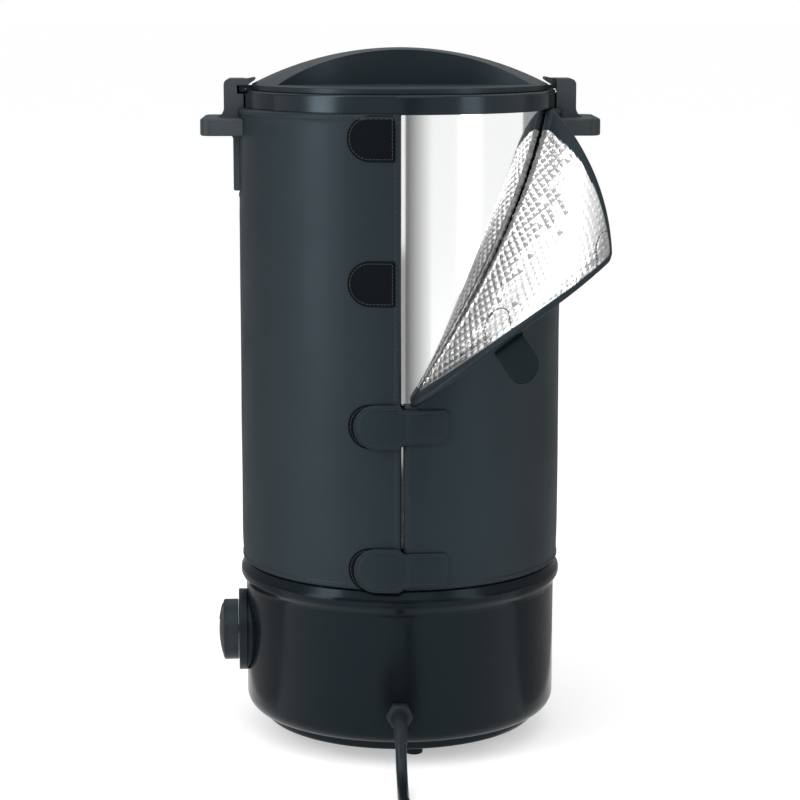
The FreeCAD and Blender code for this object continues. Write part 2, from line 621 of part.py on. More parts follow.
def closed_straps():
    """The two lower straps, across the slit with their ends on the patches."""
    inner_r = WRAP_R + PATCH_THICKNESS + 0.2
    left = SLIT_X - STRAP_LENGTH / 2
    outline = strap_outline(left, left + STRAP_LENGTH, STRAP_WIDTH, STRAP_END_WIDTH)
    return Part.makeCompound([on_wrap(outline, inner_r, inner_r + STRAP_THICKNESS, z)
                              for z in STRAP_HEIGHTS[2:]])


def patch_outline():
    """Hook-and-loop patch on the left side of the slit, half-round at its left end."""
    right = SLIT_X - SLIT_WIDTH / 2 - 1.5
    left = right - PATCH_LENGTH
    half = STRAP_WIDTH / 2
    return [(left, -half, half * 0.98), (right, -half, 1.0), (right, half, 1.0), (left, half, half * 0.98)]


def hook_patches():
    """Four patches that the straps close on."""
    return Part.makeCompound([on_wrap(patch_outline(), WRAP_R + 0.05, WRAP_R + PATCH_THICKNESS, z)
                              for z in STRAP_HEIGHTS])


def open_strap(height, lean):
    """Free end of an unfastened strap, sewn behind the flap's slit edge and leaning in its plane."""
    share = (height - FOLD_FOOT_Z) / (WRAP_TOP_Z - FOLD_FOOT_Z)
    here, after, before = [flap_row(s) for s in (share, share + 0.03, share - 0.03)]
    inward = unit(here[1] - here[0])
    edge = after[0] - before[0]
    behind = unit(edge.cross(inward))
    if behind.y < 0:
        behind = behind * -1
    out = unit(behind.cross(edge))
    if out.dot(inward) > 0:
        out = out * -1
    out = FreeCAD.Rotation(behind, lean).multVec(out)
    half = STRAP_END_WIDTH / 2
    plate = prism([(-STRAP_SEAM, -half, 1.0), (STRAP_LENGTH / 2, -half, half * 0.9),
                   (STRAP_LENGTH / 2, half, half * 0.9), (-STRAP_SEAM, half, 1.0)],
                  in_xy, ORIGIN, UP * STRAP_THICKNESS)
    root = here[0] + behind * (FLAP_THICKNESS / 2 + 2.5 * SOFT_GAP)
    plate.Placement = FreeCAD.Placement(root, FreeCAD.Rotation(out, behind.cross(out), behind, "XYZ"))
    return plate


# ---- heater, thermostat and wiring ----
def heater_plate():
    """Cast aluminium disc clamped under the tank, with a groove for the element."""
    plate = turned([(0, HEATER_LOW_Z, 0), (HEATER_R, HEATER_LOW_Z, 1.5), (HEATER_R, TANK_SEAT_Z, 0.5),
                    (0, TANK_SEAT_Z, 0)])
    hole = rod(HEATER_STUD_R + HOLE_GAP, V(0, 0, HEATER_LOW_Z - 1), UP * (HEATER_THICKNESS + 2))
    groove = Part.makeTorus(ELEMENT_CIRCLE, ELEMENT_R, V(0, 0, HEATER_LOW_Z - 1.5))
    return plate.cut([hole, groove])


def heating_element():
    """Tubular element bent into a ring in the plate's groove, its two ends turned down to the terminals."""
    ring_z = HEATER_LOW_Z - 1.5
    bend = 2 * ELEMENT_R
    half_gap = math.radians(ELEMENT_GAP / 2)
    ends, bends, pins = [], [], []
    for side in (-1, 1):
        end = V(ELEMENT_CIRCLE * math.cos(half_gap), side * ELEMENT_CIRCLE * math.sin(half_gap), ring_z)
        onward = V(math.sin(half_gap), -side * math.cos(half_gap), 0)
        middle = end + onward * (bend * math.sqrt(0.5)) - UP * (bend * (1 - math.sqrt(0.5)))
        low = end + (onward - UP) * bend
        ends.append(end)
        bends += [Part.Arc(end, middle, low).toShape(), Part.makeLine(low, low - UP * 6)]
        pins.append(rod(1.5, low - UP * 5, UP * -11))
    ring = Part.Arc(ends[0], V(-ELEMENT_CIRCLE, 0, ring_z), ends[1]).toShape()
    path = Part.Wire(Part.sortEdges([ring] + bends)[0])
    section = Part.Wire(Part.makeCircle(ELEMENT_R, path.OrderedVertexes[0].Point, UP))
    element = path.makePipeShell([section], True, True)
    return around(joined([element] + pins), TERMINAL_ANGLE)


def heater_fixing():
    """Weld stud under the tank with the nuts that clamp the heater plate and the shield."""
    stud = rod(HEATER_STUD_R, V(0, 0, SHIELD_Z - 8), UP * (TANK_SEAT_Z - SHIELD_Z + 8))
    nuts = [hexagon(10.0, V(0, 0, z), UP * 5)
            for z in (HEATER_LOW_Z - 5, SHIELD_Z + SHIELD_SHEET, SHIELD_Z - 5)]
    return joined([stud] + nuts)


def heat_shield():
    """Dished steel disc between the heater and the wiring."""
    rim = 8.0
    disc = turned([
        (HEATER_STUD_R + HOLE_GAP, SHIELD_Z, 0), (SHIELD_R, SHIELD_Z, 3.0), (SHIELD_R, SHIELD_Z + rim, 0),
        (SHIELD_R - SHIELD_SHEET, SHIELD_Z + rim, 0),
        (SHIELD_R - SHIELD_SHEET, SHIELD_Z + SHIELD_SHEET, 2.0),
        (HEATER_STUD_R + HOLE_GAP, SHIELD_Z + SHIELD_SHEET, 0)])
    half = ELEMENT_CIRCLE * 0.52
    window = box((ELEMENT_CIRCLE * 0.74, -half, SHIELD_Z - 1), (ELEMENT_CIRCLE + 8, half, SHIELD_Z + 3))
    return disc.cut(around(window, TERMINAL_ANGLE))


def thermal_cutoff():
    """Disc cut-out pressed on the heater plate, with two blade terminals."""
    low_z = HEATER_LOW_Z
    can = [rod(9.0, V(CUTOFF_CIRCLE, 0, low_z), UP * -5), rod(7.5, V(CUTOFF_CIRCLE, 0, low_z - 4), UP * -6)]
    for side in (-4.0, 4.0):
        x = CUTOFF_CIRCLE + side
        can.append(box((x - 0.4, -3, low_z - 15), (x + 0.4, 3, low_z - 9)))
    return around(joined(can), CUTOFF_ANGLE)


def thermostat():
    """Thermostat body inside the shell, with its threaded bushing through the wall."""
    half = THERMOSTAT_SIDE / 2
    front = THERMOSTAT_FRONT_R
    back = front - THERMOSTAT_DEPTH
    case = prism([(-half, KNOB_Z - half, 3), (half, KNOB_Z - half, 3), (half, KNOB_Z + half, 3),
                  (-half, KNOB_Z + half, 3)], in_yz, V(back, 0, 0), V(THERMOSTAT_DEPTH, 0, 0))
    bushing = rod(BUSHING_R, V(front, 0, KNOB_Z), V(BEZEL_FACE_R - 0.6 - front, 0, 0))
    shoulder = rod(BUSHING_R + 4, V(front, 0, KNOB_Z), V(wall_chord(BUSHING_R + 4) - front, 0, 0))
    blades = [box((back - 8, y - 3, KNOB_Z - 12), (back, y + 3, KNOB_Z - 11.2)) for y in (-9, 9)]
    bore = rod(SHAFT_R + SHAFT_GAP, V(front - 14, 0, KNOB_Z), V(60, 0, 0))
    return around(joined([case, bushing, shoulder] + blades).cut(bore), KNOB_ANGLE)


def wall_chord(half_width):
    """Distance from the axis at which a flat disc of that half width meets the shell's inner wall."""
    return math.sqrt((BASE_R - BASE_WALL) ** 2 - half_width ** 2)


def thermostat_nut():
    """Nut that clamps the bushing to the shell, in the bezel's recess."""
    nut = hexagon(2 * BUSHING_R + 4.0, V(BASE_R, 0, KNOB_Z), V(2.8, 0, 0))
    return around(nut.cut(rod(BUSHING_R, V(BASE_R - 1, 0, KNOB_Z), V(9, 0, 0))), KNOB_ANGLE)


def thermostat_sensor():
    """Copper sensor bulb under the heater plate and its capillary tube to the thermostat."""
    bulb_z = HEATER_LOW_Z - SENSOR_R
    room = ELEMENT_CIRCLE - ELEMENT_R
    x, y = -0.44 * room, -0.56 * room
    bulb = rod(SENSOR_R, V(x, y, bulb_z), V(0, room, 0))
    inner = THERMOSTAT_FRONT_R - THERMOSTAT_DEPTH
    start = around(Part.Vertex(inner, 0, KNOB_Z + 8), KNOB_ANGLE).Point
    route = [start, (start[0] + 12, start[1] + 4, KNOB_Z + 8), (x * 1.82, y * 1.07, SHIELD_Z - 9),
             (x, y * 1.64, SHIELD_Z - 2), (x, y * 1.5, bulb_z - 4), (x, y * 1.21, bulb_z), (x, y, bulb_z)]
    return joined([bulb, bent_tube(route, 0.9)])


def dial_bezel():
    """Round dial plate on a seat that follows the curved shell, with a raised rim round the knob."""
    low_r = BASE_R - 6.0
    face = BEZEL_FACE_R
    seat_r = BEZEL_R - 1.4
    profile = Part.Face(rounded_wire([(0, low_r, 0), (seat_r, low_r, 0), (seat_r, face - BEZEL_THICKNESS, 0),
                                      (BEZEL_R, face - BEZEL_THICKNESS, 0.4), (BEZEL_R, face, 0.7),
                                      (BEZEL_R - 2.2, face, 0.4), (BEZEL_R - 2.8, face - 0.8, 0.3),
                                      (0, face - 0.8, 0)], lambda u, v: V(v, 0, KNOB_Z + u)))
    disc = profile.revolve(V(0, 0, KNOB_Z), V(1, 0, 0), 360)
    recess = rod(BUSHING_R + 4.5, V(low_r - 1, 0, KNOB_Z), V(20, 0, 0))
    return around(disc.cut([Part.makeCylinder(BASE_R, 200), recess]), KNOB_ANGLE)


def knob_front(lift):
    """Ball whose surface is the knob's domed front, raised by a lift."""
    ball_r = (KNOB_R ** 2 + KNOB_DOME ** 2) / (2 * KNOB_DOME)
    outer = BEZEL_FACE_R + TURN_GAP + KNOB_HEIGHT
    return Part.makeSphere(ball_r + lift, V(outer - ball_r, 0, KNOB_Z))


def knob():
    """Smooth control knob with a domed front, a pointer ridge and a bore for the shaft."""
    face = BEZEL_FACE_R + TURN_GAP
    body = rod(KNOB_R, V(face, 0, KNOB_Z), V(KNOB_HEIGHT, 0, 0)).common(knob_front(0))
    rim = [edge for edge in body.Edges if edge.BoundBox.XMin > face + 1 and edge.BoundBox.ZLength > KNOB_R]
    body = body.makeFillet(1.0, rim)
    hollow = tube(KNOB_R - 3.0, BUSHING_R + 3.5, V(face - 1, 0, KNOB_Z),
                  V(KNOB_HEIGHT - KNOB_DOME - 1.0, 0, 0))
    bore = rod(SHAFT_R, V(face - 1, 0, KNOB_Z), V(KNOB_HEIGHT - 2.0, 0, 0))
    clear = rod(BUSHING_R + TURN_GAP, V(face - 1, 0, KNOB_Z), V(1.6, 0, 0))
    pointer = prism([(-1.1, KNOB_R * 0.35, 0.4), (1.1, KNOB_R * 0.35, 0.4), (1.1, KNOB_R - 2.4, 0.4),
                     (-1.1, KNOB_R - 2.4, 0.4)],
                    lambda u, v: V(0, u, KNOB_Z + v),
                    V(face + KNOB_HEIGHT - KNOB_DOME - 0.5, 0, 0), V(KNOB_DOME + 2, 0, 0))
    pointer = pointer.common(knob_front(0.4))
    return around(joined([body.cut([hollow, bore, clear]), pointer]), KNOB_ANGLE)


def knob_shaft():
    """Thermostat shaft that the knob is pressed on."""
    face = BEZEL_FACE_R + TURN_GAP
    start = THERMOSTAT_FRONT_R - 13.5
    length = face - 1 + KNOB_HEIGHT - 2.0 - start
    return around(rod(SHAFT_R, V(start, 0, KNOB_Z), V(length, 0, 0)), KNOB_ANGLE)


def terminal_block():
    """Ceramic terminal block on the cover, with wire holes and screw wells."""
    base_z = FOOT_HEIGHT + COVER_SHEET
    block = box((-22, -8, base_z), (22, 8, base_z + 16))
    cuts = []
    for x in (-14.0, 0.0, 14.0):
        cuts += [rod(2.4, V(x, -9, base_z + 6), V(0, 18, 0)), rod(2.8, V(x, 0, base_z + 8), UP * 9)]
    cuts += [box((x - 1, -9, base_z + 11), (x + 1, 9, base_z + 17)) for x in (-7.0, 7.0)]
    block = block.cut(cuts)
    block.translate(V(0, -34, 0))
    return block


# ---- tap ----
def tap_channel():
    """Wax passage: level through the shank, then down through the spout."""
    return [rod(SHANK_BORE, V(TANK_R - 20, 0, TAP_Z), V(TAP_AXIS_R - TANK_R + 20, 0, 0)),
            rod(SPOUT_BORE, V(TAP_AXIS_R, 0, TAP_Z), UP * -60)]


def tap_body():
    """Tap body: threaded shank, flange, level barrel, valve tower and spout."""
    flange_x = TANK_R + TAP_WASHER
    low_z = TOWER_LOW_Z
    shank = rod(SHANK_R, V(TANK_R - 12.0, 0, TAP_Z), V(20, 0, 0))
    flange = rod(TAP_FLANGE_R, V(flange_x, 0, TAP_Z), V(3, 0, 0))
    barrel = rod(BARREL_R, V(flange_x + 1, 0, TAP_Z), V(TAP_AXIS_R - flange_x - 1, 0, 0))
    collar = rod(BARREL_R + 1.3, V(flange_x + 3, 0, TAP_Z), V(4, 0, 0))
    tower = turned([(0, low_z, 0), (TOWER_R, low_z, 2.0), (TOWER_R, TOWER_TOP_Z, 0.6), (0, TOWER_TOP_Z, 0)])
    spout = turned([(0, low_z - SPOUT_LENGTH, 0), (SPOUT_R, low_z - SPOUT_LENGTH, 0.8),
                    (SPOUT_R + 1.2, low_z + 1, 0), (0, low_z + 1, 0)])
    for upright in (tower, spout):
        upright.translate(V(TAP_AXIS_R, 0, 0))
    seat = rod(PLUG_R + SHAFT_GAP, V(TAP_AXIS_R, 0, TOWER_LOW_Z + 3.5), UP * 40)
    body = joined([shank, flange, barrel, collar, tower, spout])
    return around(body.cut(tap_channel() + [seat]), TAP_ANGLE)


def tap_washers():
    """Silicone washers either side of the tank's wall."""
    inner_face = math.sqrt((TANK_R - TANK_WALL) ** 2 - TAP_WASHER_R ** 2)
    pair = [tube(TAP_WASHER_R, SHANK_R, V(x, 0, TAP_Z), V(thickness, 0, 0))
            for x, thickness in ((inner_face - 2.0, 2.0), (TANK_R, TAP_WASHER))]
    return Part.makeCompound([around(washer, TAP_ANGLE) for washer in pair])


def tap_nut():
    """Nut on the shank inside the tank."""
    outer_face = math.sqrt((TANK_R - TANK_WALL) ** 2 - TAP_WASHER_R ** 2) - 2.0
    nut = hexagon(3 * SHANK_R, V(outer_face - 6.0, 0, TAP_Z), V(6.0, 0, 0))
    return around(nut.cut(rod(SHANK_R, V(outer_face - 10, 0, TAP_Z), V(20, 0, 0))), TAP_ANGLE)


def tap_plug():
    """Turning plug of the valve: at rest its side port faces across the passage."""
    low_z = TOWER_LOW_Z + 3.6
    plug = joined([rod(PLUG_R, V(TAP_AXIS_R, 0, low_z), UP * (TOWER_TOP_Z - 0.3 - low_z)),
                   rod(STEM_R, V(TAP_AXIS_R, 0, TOWER_TOP_Z - 1), UP * 10.0)])
    port = rod(SHANK_BORE, V(TAP_AXIS_R, 0, TAP_Z), V(0, 20, 0))
    drain = rod(SHANK_BORE, V(TAP_AXIS_R, 0, TAP_Z), UP * -20)
    return around(plug.cut([port, drain]), TAP_ANGLE)


def tap_cap():
    """Ring nut that keeps the plug in the tower."""
    inner_r, outer_r = STEM_R + SHAFT_GAP, TOWER_R - 0.8
    top_z = TOWER_TOP_Z + TAP_CAP_HEIGHT
    cap = turned([(inner_r, TOWER_TOP_Z, 0), (outer_r, TOWER_TOP_Z, 0), (outer_r, top_z, 1.0),
                  (inner_r, top_z, 0)])
    cap.translate(V(TAP_AXIS_R, 0, 0))
    return around(cap, TAP_ANGLE)


def tap_lever():
    """Lever on the plug's stem: hub and a paddle that rises towards its round end."""
    low_z = TOWER_TOP_Z + TAP_CAP_HEIGHT + TURN_GAP
    stem_top = TOWER_TOP_Z + 9.0
    hub_r, hub_top = STEM_R + 4.5, low_z + 8
    hub = turned([(STEM_R, low_z, 0), (hub_r, low_z, 0.6), (hub_r, hub_top, 2.0), (0, hub_top, 0),
                  (0, stem_top, 0), (STEM_R, stem_top, 0)])
    outline = [(0, -5.0, 0), (LEVER_LENGTH, -7.5, 7.0), (LEVER_LENGTH, 7.5, 7.0), (0, 5.0, 0)]
    plan = prism(outline, in_xy, V(0, 0, low_z), UP * 30)
    side = prism([(5, low_z + 1, 0), (18, low_z + 1, 12), (LEVER_LENGTH + 4, low_z + 7, 0),
                  (LEVER_LENGTH + 4, low_z + 6 + LEVER_THICKNESS, 0), (18, low_z + 1 + LEVER_THICKNESS, 12),
                  (5, low_z + 2 + LEVER_THICKNESS, 0)], in_xz, V(0, -10, 0), V(0, 20, 0))
    lever = joined([hub, plan.common(side)])
    lever.rotate(ORIGIN, UP, -90)
    lever.translate(V(TAP_AXIS_R, 0, 0))
    return around(lever, TAP_ANGLE)


# ---- mains lead ----
def cord_gland():
    """Strain relief bushing in the base wall: neck, inner nut and a six-sided head with a domed front."""
    start = V(0, -(BASE_R - BASE_WALL - 4), GLAND_Z)
    neck = rod(GLAND_NECK_R, start, V(0, -(BASE_WALL + 5), 0))
    inner = hexagon(15.0, start, V(0, -3.0, 0))
    head = hexagon(2 * GLAND_R, V(0, -BASE_R, GLAND_Z), V(0, -GLAND_LENGTH, 0))
    dome_r = GLAND_R * 1.14
    form = turned([(0, 0, 0), (dome_r, 0, 0), (dome_r, GLAND_LENGTH, GLAND_LENGTH * 0.6),
                   (0, GLAND_LENGTH, 0)])
    form.Placement = FreeCAD.Placement(V(0, -BASE_R, GLAND_Z), FreeCAD.Rotation(UP, V(0, -1, 0)))
    body = joined([neck, inner, head.common(form)])
    body = body.cut(rod(CORD_R, V(0, -60, GLAND_Z), V(0, -70, 0)))
    return body


def mains_cord():
    """Free run of the lead from the gland to the coil, and the short tail to the plug."""
    gland_mouth = (0.0, -(BASE_R + 1.0), GLAND_Z)
    run = bent_tube([gland_mouth] + CORD_ROUTE, CORD_R, "lead")
    tail = bent_tube([TAIL_START, TAIL_MIDDLE, TAIL_END], CORD_R, "tail")
    return Part.makeCompound([piece.cut(cord_coil()) for piece in (run, tail)])


def cord_coil():
    """Outer form of the wound-up length of the lead."""
    half = CORD_R * COIL_LAYERS
    coil = turned([(COIL_R - half, 0, CORD_R), (COIL_R + half, 0, CORD_R), (COIL_R + half, 2 * half, CORD_R),
                   (COIL_R - half, 2 * half, CORD_R)])
    coil.translate(V(*COIL_CENTRE, 0))
    return coil


def mains_plug():
    """Moulded three-pin plug that lies on its side at the end of the tail."""
    x, y, z = TAIL_END
    half = PLUG_WIDTH / 2
    body = prism([(0, -half + 4, 3), (-PLUG_LENGTH * 0.45, -half, 6), (-PLUG_LENGTH, -half, 1.5),
                  (-PLUG_LENGTH, half, 1.5), (-PLUG_LENGTH * 0.45, half, 6), (0, half - 4, 3)],
                 in_xy, V(x - 14, y, 0.0), UP * PLUG_HEIGHT)
    edges = [edge for edge in body.Edges if abs(edge.BoundBox.ZMax - edge.BoundBox.ZMin) < 1e-6]
    body = body.makeFillet(2.0, edges)
    relief = Part.makeCone(CORD_R + 1.0, CORD_R + 3.6, 15, V(x, y, z), V(-1, 0, 0))
    face_x = x - 14 - PLUG_LENGTH
    blades = [box((face_x - 16, y + side - 0.75, z - 2), (face_x + 1, y + side + 0.75, z + 4.3))
              for side in (-6.35, 6.35)]
    pin = rod(2.4, V(face_x + 1, y, z - 8.0), V(-20, 0, 0))
    plug = joined([body, relief, pin] + blades)
    plug.rotate(V(x, y, 0), UP, 90)
    return plug


PARTS = {
    "base_shell": base_shell,
    "base_cover": base_cover,
    "base_feet": feet,
    "base_screws": base_screws,
    "tank": tank,
    "rim_band": rim_band,
    "lid": lid,
    "lid_seal": lid_seal,
    "handle_left": lambda: around(handle(), HANDLE_ANGLES[0]),
    "handle_right": lambda: around(handle(), HANDLE_ANGLES[1]),
    "handle_studs": handle_studs,
    "jacket_wrap": wrap_shell,
    "jacket_flap": jacket_flap,
    "closed_straps": closed_straps,
    "open_strap_upper": lambda: open_strap(STRAP_HEIGHTS[0], 0.0),
    "open_strap_lower": lambda: open_strap(STRAP_HEIGHTS[1], 0.0),
    "hook_patches": hook_patches,
    "heater_plate": heater_plate,
    "heating_element": heating_element,
    "heater_fixing": heater_fixing,
    "heat_shield": heat_shield,
    "thermal_cutoff": thermal_cutoff,
    "thermostat": thermostat,
    "thermostat_nut": thermostat_nut,
    "thermostat_sensor": thermostat_sensor,
    "terminal_block": terminal_block,
    "dial_bezel": dial_bezel,
    "dial_knob": knob,
    "knob_shaft": knob_shaft,
    "tap_body": tap_body,
    "tap_washers": tap_washers,
    "tap_nut": tap_nut,
    "tap_plug": tap_plug,
    "tap_cap": tap_cap,
    "tap_lever": tap_lever,
    "cord_gland": cord_gland,
    "mains_cord": mains_cord,
    "cord_coil": cord_coil,
    "mains_plug": mains_plug,
}


def main():
    """Write one STEP file per piece."""
    os.makedirs("parts", exist_ok=True)
    for name, make in PARTS.items():
        shape = make()
        print(name, shape.isValid(), len(shape.Solids), round(shape.Volume))
        shape.exportStep(f"parts/{name}.step")


main()
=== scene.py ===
"""Looks of the candle wax melter: camera, studio, materials and the modelled soft goods, in metres."""
import json
import math
import bpy
import numpy as np
from mathutils import Matrix, Vector
from mathutils.geometry import delaunay_2d_cdt


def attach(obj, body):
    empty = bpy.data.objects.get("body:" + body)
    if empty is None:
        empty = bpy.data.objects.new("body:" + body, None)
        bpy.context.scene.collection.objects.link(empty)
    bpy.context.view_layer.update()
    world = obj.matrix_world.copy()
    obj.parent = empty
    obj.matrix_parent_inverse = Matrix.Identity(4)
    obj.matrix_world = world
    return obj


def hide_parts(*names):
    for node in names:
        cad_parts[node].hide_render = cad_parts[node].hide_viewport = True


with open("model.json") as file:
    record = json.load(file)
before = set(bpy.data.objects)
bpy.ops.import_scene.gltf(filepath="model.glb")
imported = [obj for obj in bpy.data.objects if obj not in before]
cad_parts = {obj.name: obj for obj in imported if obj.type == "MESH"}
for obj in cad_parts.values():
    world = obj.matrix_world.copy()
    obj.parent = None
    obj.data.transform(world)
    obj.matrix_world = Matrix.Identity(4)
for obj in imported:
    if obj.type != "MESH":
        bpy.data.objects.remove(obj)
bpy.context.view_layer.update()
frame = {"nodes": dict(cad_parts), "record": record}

MM = 0.001
nodes_of = frame["nodes"]


# ---- camera and studio
CAMERA_AT = (0.0001, -1.432, 0.464)
CAMERA_PITCH = 10.0  # degrees below level
CAMERA_LENS = 103.05  # on a 36 mm sensor
LAMP_TARGET = (0, 0, 0.3)
WORLD_LIGHT = 0.7  # strength of the surroundings as plain light
WORLD_LOW = 0.3  # in reflections, near the horizon
WORLD_HIGH = 0.85  # in reflections, overhead
WORLD_CLIMB = (0.15, 0.75)  # upward shares of a direction between which reflections brighten
FLOOR_HALF = 40.0
FLOOR_GREY = 0.82
FLOOR_SEEN = 0.42  # lift of the floor for the camera
FLOOR_MIRRORED = 0.42  # and in reflections
FADE = [(0.0, 0.10), (0.25, 0.33), (1.0, 0.95)]  # places along the fading card, and greys
CARD_LOW = 0.002  # where the standing cards start
SIDE_CARD = (0.98, 0.17, 0.17, 0.98, 0.8)  # its two ends, mirrored left and right, and height
FLOOR_CARD = [(0.15, -0.04), (0.9, -0.04), (0.9, 0.8), (0.15, 0.8)]
FLOOR_CARD_AT = 0.003


def link_object(name, data):
    """New object of the scene."""
    added = bpy.data.objects.new(name, data)
    bpy.context.scene.collection.objects.link(added)
    return added


def add_node(tree, kind, inputs=(), **settings):
    """Shader node with its settings, and each input set to a value or linked to a socket."""
    node = tree.nodes.new("ShaderNode" + kind)
    for name, value in settings.items():
        setattr(node, name, value)
    for name, value in dict(inputs).items():
        if isinstance(value, bpy.types.NodeSocket):
            tree.links.new(value, node.inputs[name])
        else:
            node.inputs[name].default_value = value
    return node


def map_range(tree, value, low, high, to_low, to_high, **settings):
    """Socket of a value that is taken from one range to another."""
    return add_node(tree, "MapRange", {"Value": value, "From Min": low, "From Max": high, "To Min": to_low,
                                       "To Max": to_high}, **settings).outputs["Result"]


def add_camera():
    """Long lens in front of the mains lead, a little above the lid."""
    data = bpy.data.cameras.new("camera")
    data.lens = CAMERA_LENS
    data.sensor_width = 36.0
    data.clip_end = 50.0
    camera = link_object("camera", data)
    camera.location = CAMERA_AT
    camera.rotation_euler = (math.radians(90.0 - CAMERA_PITCH), 0, 0)
    bpy.context.scene.camera = camera


def add_softbox(name, location, width, height, power):
    """Rectangular studio lamp that points at the melter."""
    data = bpy.data.lights.new(name, "AREA")
    data.shape = "RECTANGLE"
    data.size = width
    data.size_y = height
    data.energy = power
    lamp = link_object(name, data)
    lamp.location = location
    aim = Vector(LAMP_TARGET) - Vector(location)
    lamp.rotation_euler = aim.to_track_quat("-Z", "Y").to_euler()


def add_world():
    """White surroundings for the camera. Reflections show them bright overhead and dimmer low down."""
    world = bpy.data.worlds.new("studio")
    world.use_nodes = True
    tree = world.node_tree
    tree.nodes.clear()
    ray = add_node(tree, "LightPath").outputs
    seen = add_node(tree, "Math", {0: ray["Is Camera Ray"], 1: ray["Is Transmission Ray"]},
                    operation="MAXIMUM")
    place = add_node(tree, "TexCoord").outputs["Generated"]
    upward = add_node(tree, "SeparateXYZ", {0: place}).outputs["Z"]
    reflected = map_range(tree, upward, *WORLD_CLIMB, WORLD_LOW, WORLD_HIGH, interpolation_type="SMOOTHSTEP")
    unseen = add_node(tree, "Mix", {"Factor": ray["Is Glossy Ray"], "A": WORLD_LIGHT, "B": reflected})
    strength = add_node(tree, "Mix", {"Factor": seen.outputs[0], "A": unseen.outputs["Result"], "B": 1.0})
    background = add_node(tree, "Background", {"Color": (1, 1, 1, 1), "Strength": strength.outputs["Result"]})
    add_node(tree, "OutputWorld", {"Surface": background.outputs[0]})
    bpy.context.scene.world = world


def add_card(name, corners):
    """Flat piece of the studio and the node tree of its material."""
    material = bpy.data.materials.new(name)
    material.use_nodes = True
    mesh = bpy.data.meshes.new(name)
    mesh.from_pydata(corners, [], [(0, 1, 2, 3)])
    mesh.materials.append(material)
    card = link_object(name, mesh)
    return card, material.node_tree


def add_floor():
    """Pale floor that reads white and keeps the melter's shadow."""
    turns = ((-1, -1), (1, -1), (1, 1), (-1, 1))
    tree = add_card("floor", [(x * FLOOR_HALF, y * FLOOR_HALF, 0) for x, y in turns])[1]
    tree.nodes.clear()
    ray = add_node(tree, "LightPath").outputs
    seen = add_node(tree, "Math", {0: ray["Is Camera Ray"], 1: FLOOR_SEEN}, operation="MULTIPLY")
    lift = add_node(tree, "Math", {0: ray["Is Glossy Ray"], 1: FLOOR_MIRRORED, 2: seen.outputs[0]},
                    operation="MULTIPLY_ADD")
    diffuse = add_node(tree, "BsdfDiffuse", {"Color": (*[FLOOR_GREY] * 3, 1)})
    glow = add_node(tree, "Emission", {"Strength": lift.outputs[0]})
    both = add_node(tree, "AddShader", {0: diffuse.outputs[0], 1: glow.outputs[0]})
    add_node(tree, "OutputMaterial", {"Surface": both.outputs[0]})


def add_flag(name, corners, grey=0.01, fade=False):
    """Card that only reflections show, of one grey or fading from dark to light along x."""
    card, tree = add_card(name, corners)
    tree.nodes["Principled BSDF"].inputs["Base Color"].default_value = (grey, grey, grey, 1)
    if fade:
        place = add_node(tree, "TexCoord").outputs["Generated"]
        ramp = add_node(tree, "ValToRGB", {"Fac": add_node(tree, "SeparateXYZ", {0: place}).outputs["X"]})
        elements = ramp.color_ramp.elements
        elements.new(FADE[1][0])
        for element, (at, shade) in zip(elements, FADE):
            element.position = at
            element.color = (shade, shade, shade, 1)
        glow = add_node(tree, "Emission", {"Color": ramp.outputs["Color"]})
        tree.links.new(glow.outputs[0], tree.nodes["Material Output"].inputs["Surface"])
    for ray in ("camera", "diffuse", "transmission", "shadow"):
        setattr(card, "visible_" + ray, False)


def upright(from_x, from_y, to_x, to_y, high):
    """Corners of a card that stands on the floor."""
    return [(from_x, from_y, CARD_LOW), (to_x, to_y, CARD_LOW), (to_x, to_y, high), (from_x, from_y, high)]


def add_studio():
    """A tall softbox on each side, a wide one overhead, and the cards that shape the reflections."""
    add_world()
    add_floor()
    add_flag("flag_low", upright(-0.05, -0.5, 0.05, -0.5, 0.105))
    add_flag("flag_slit", upright(-0.03, -0.8, 0.053, -0.8, 0.24), grey=0.45)
    add_flag("flag_fade", upright(0.053, -0.8, 0.32, -0.8, 0.6), fade=True)
    for side, name in ((-1, "left"), (1, "right")):
        x, y, to_x, to_y, high = SIDE_CARD
        add_flag("flag_" + name, upright(side * x, y, side * to_x, to_y, high), grey=0.3)
        add_flag("flag_floor_" + name, [(side * x, y, FLOOR_CARD_AT) for x, y in FLOOR_CARD], grey=0.45)
    add_softbox("softbox_left", (-1.0, -0.66, 0.64), 0.4, 1.2, 7.5)
    add_softbox("softbox_right", (0.95, -0.75, 0.64), 0.35, 1.2, 3.0)
    add_softbox("softbox_top", (-0.2, -0.9, 1.9), 2.2, 1.5, 10.5)


# ---- materials
COOL = (0.66, 0.88, 1.0)  # tint of the sheen on black coatings


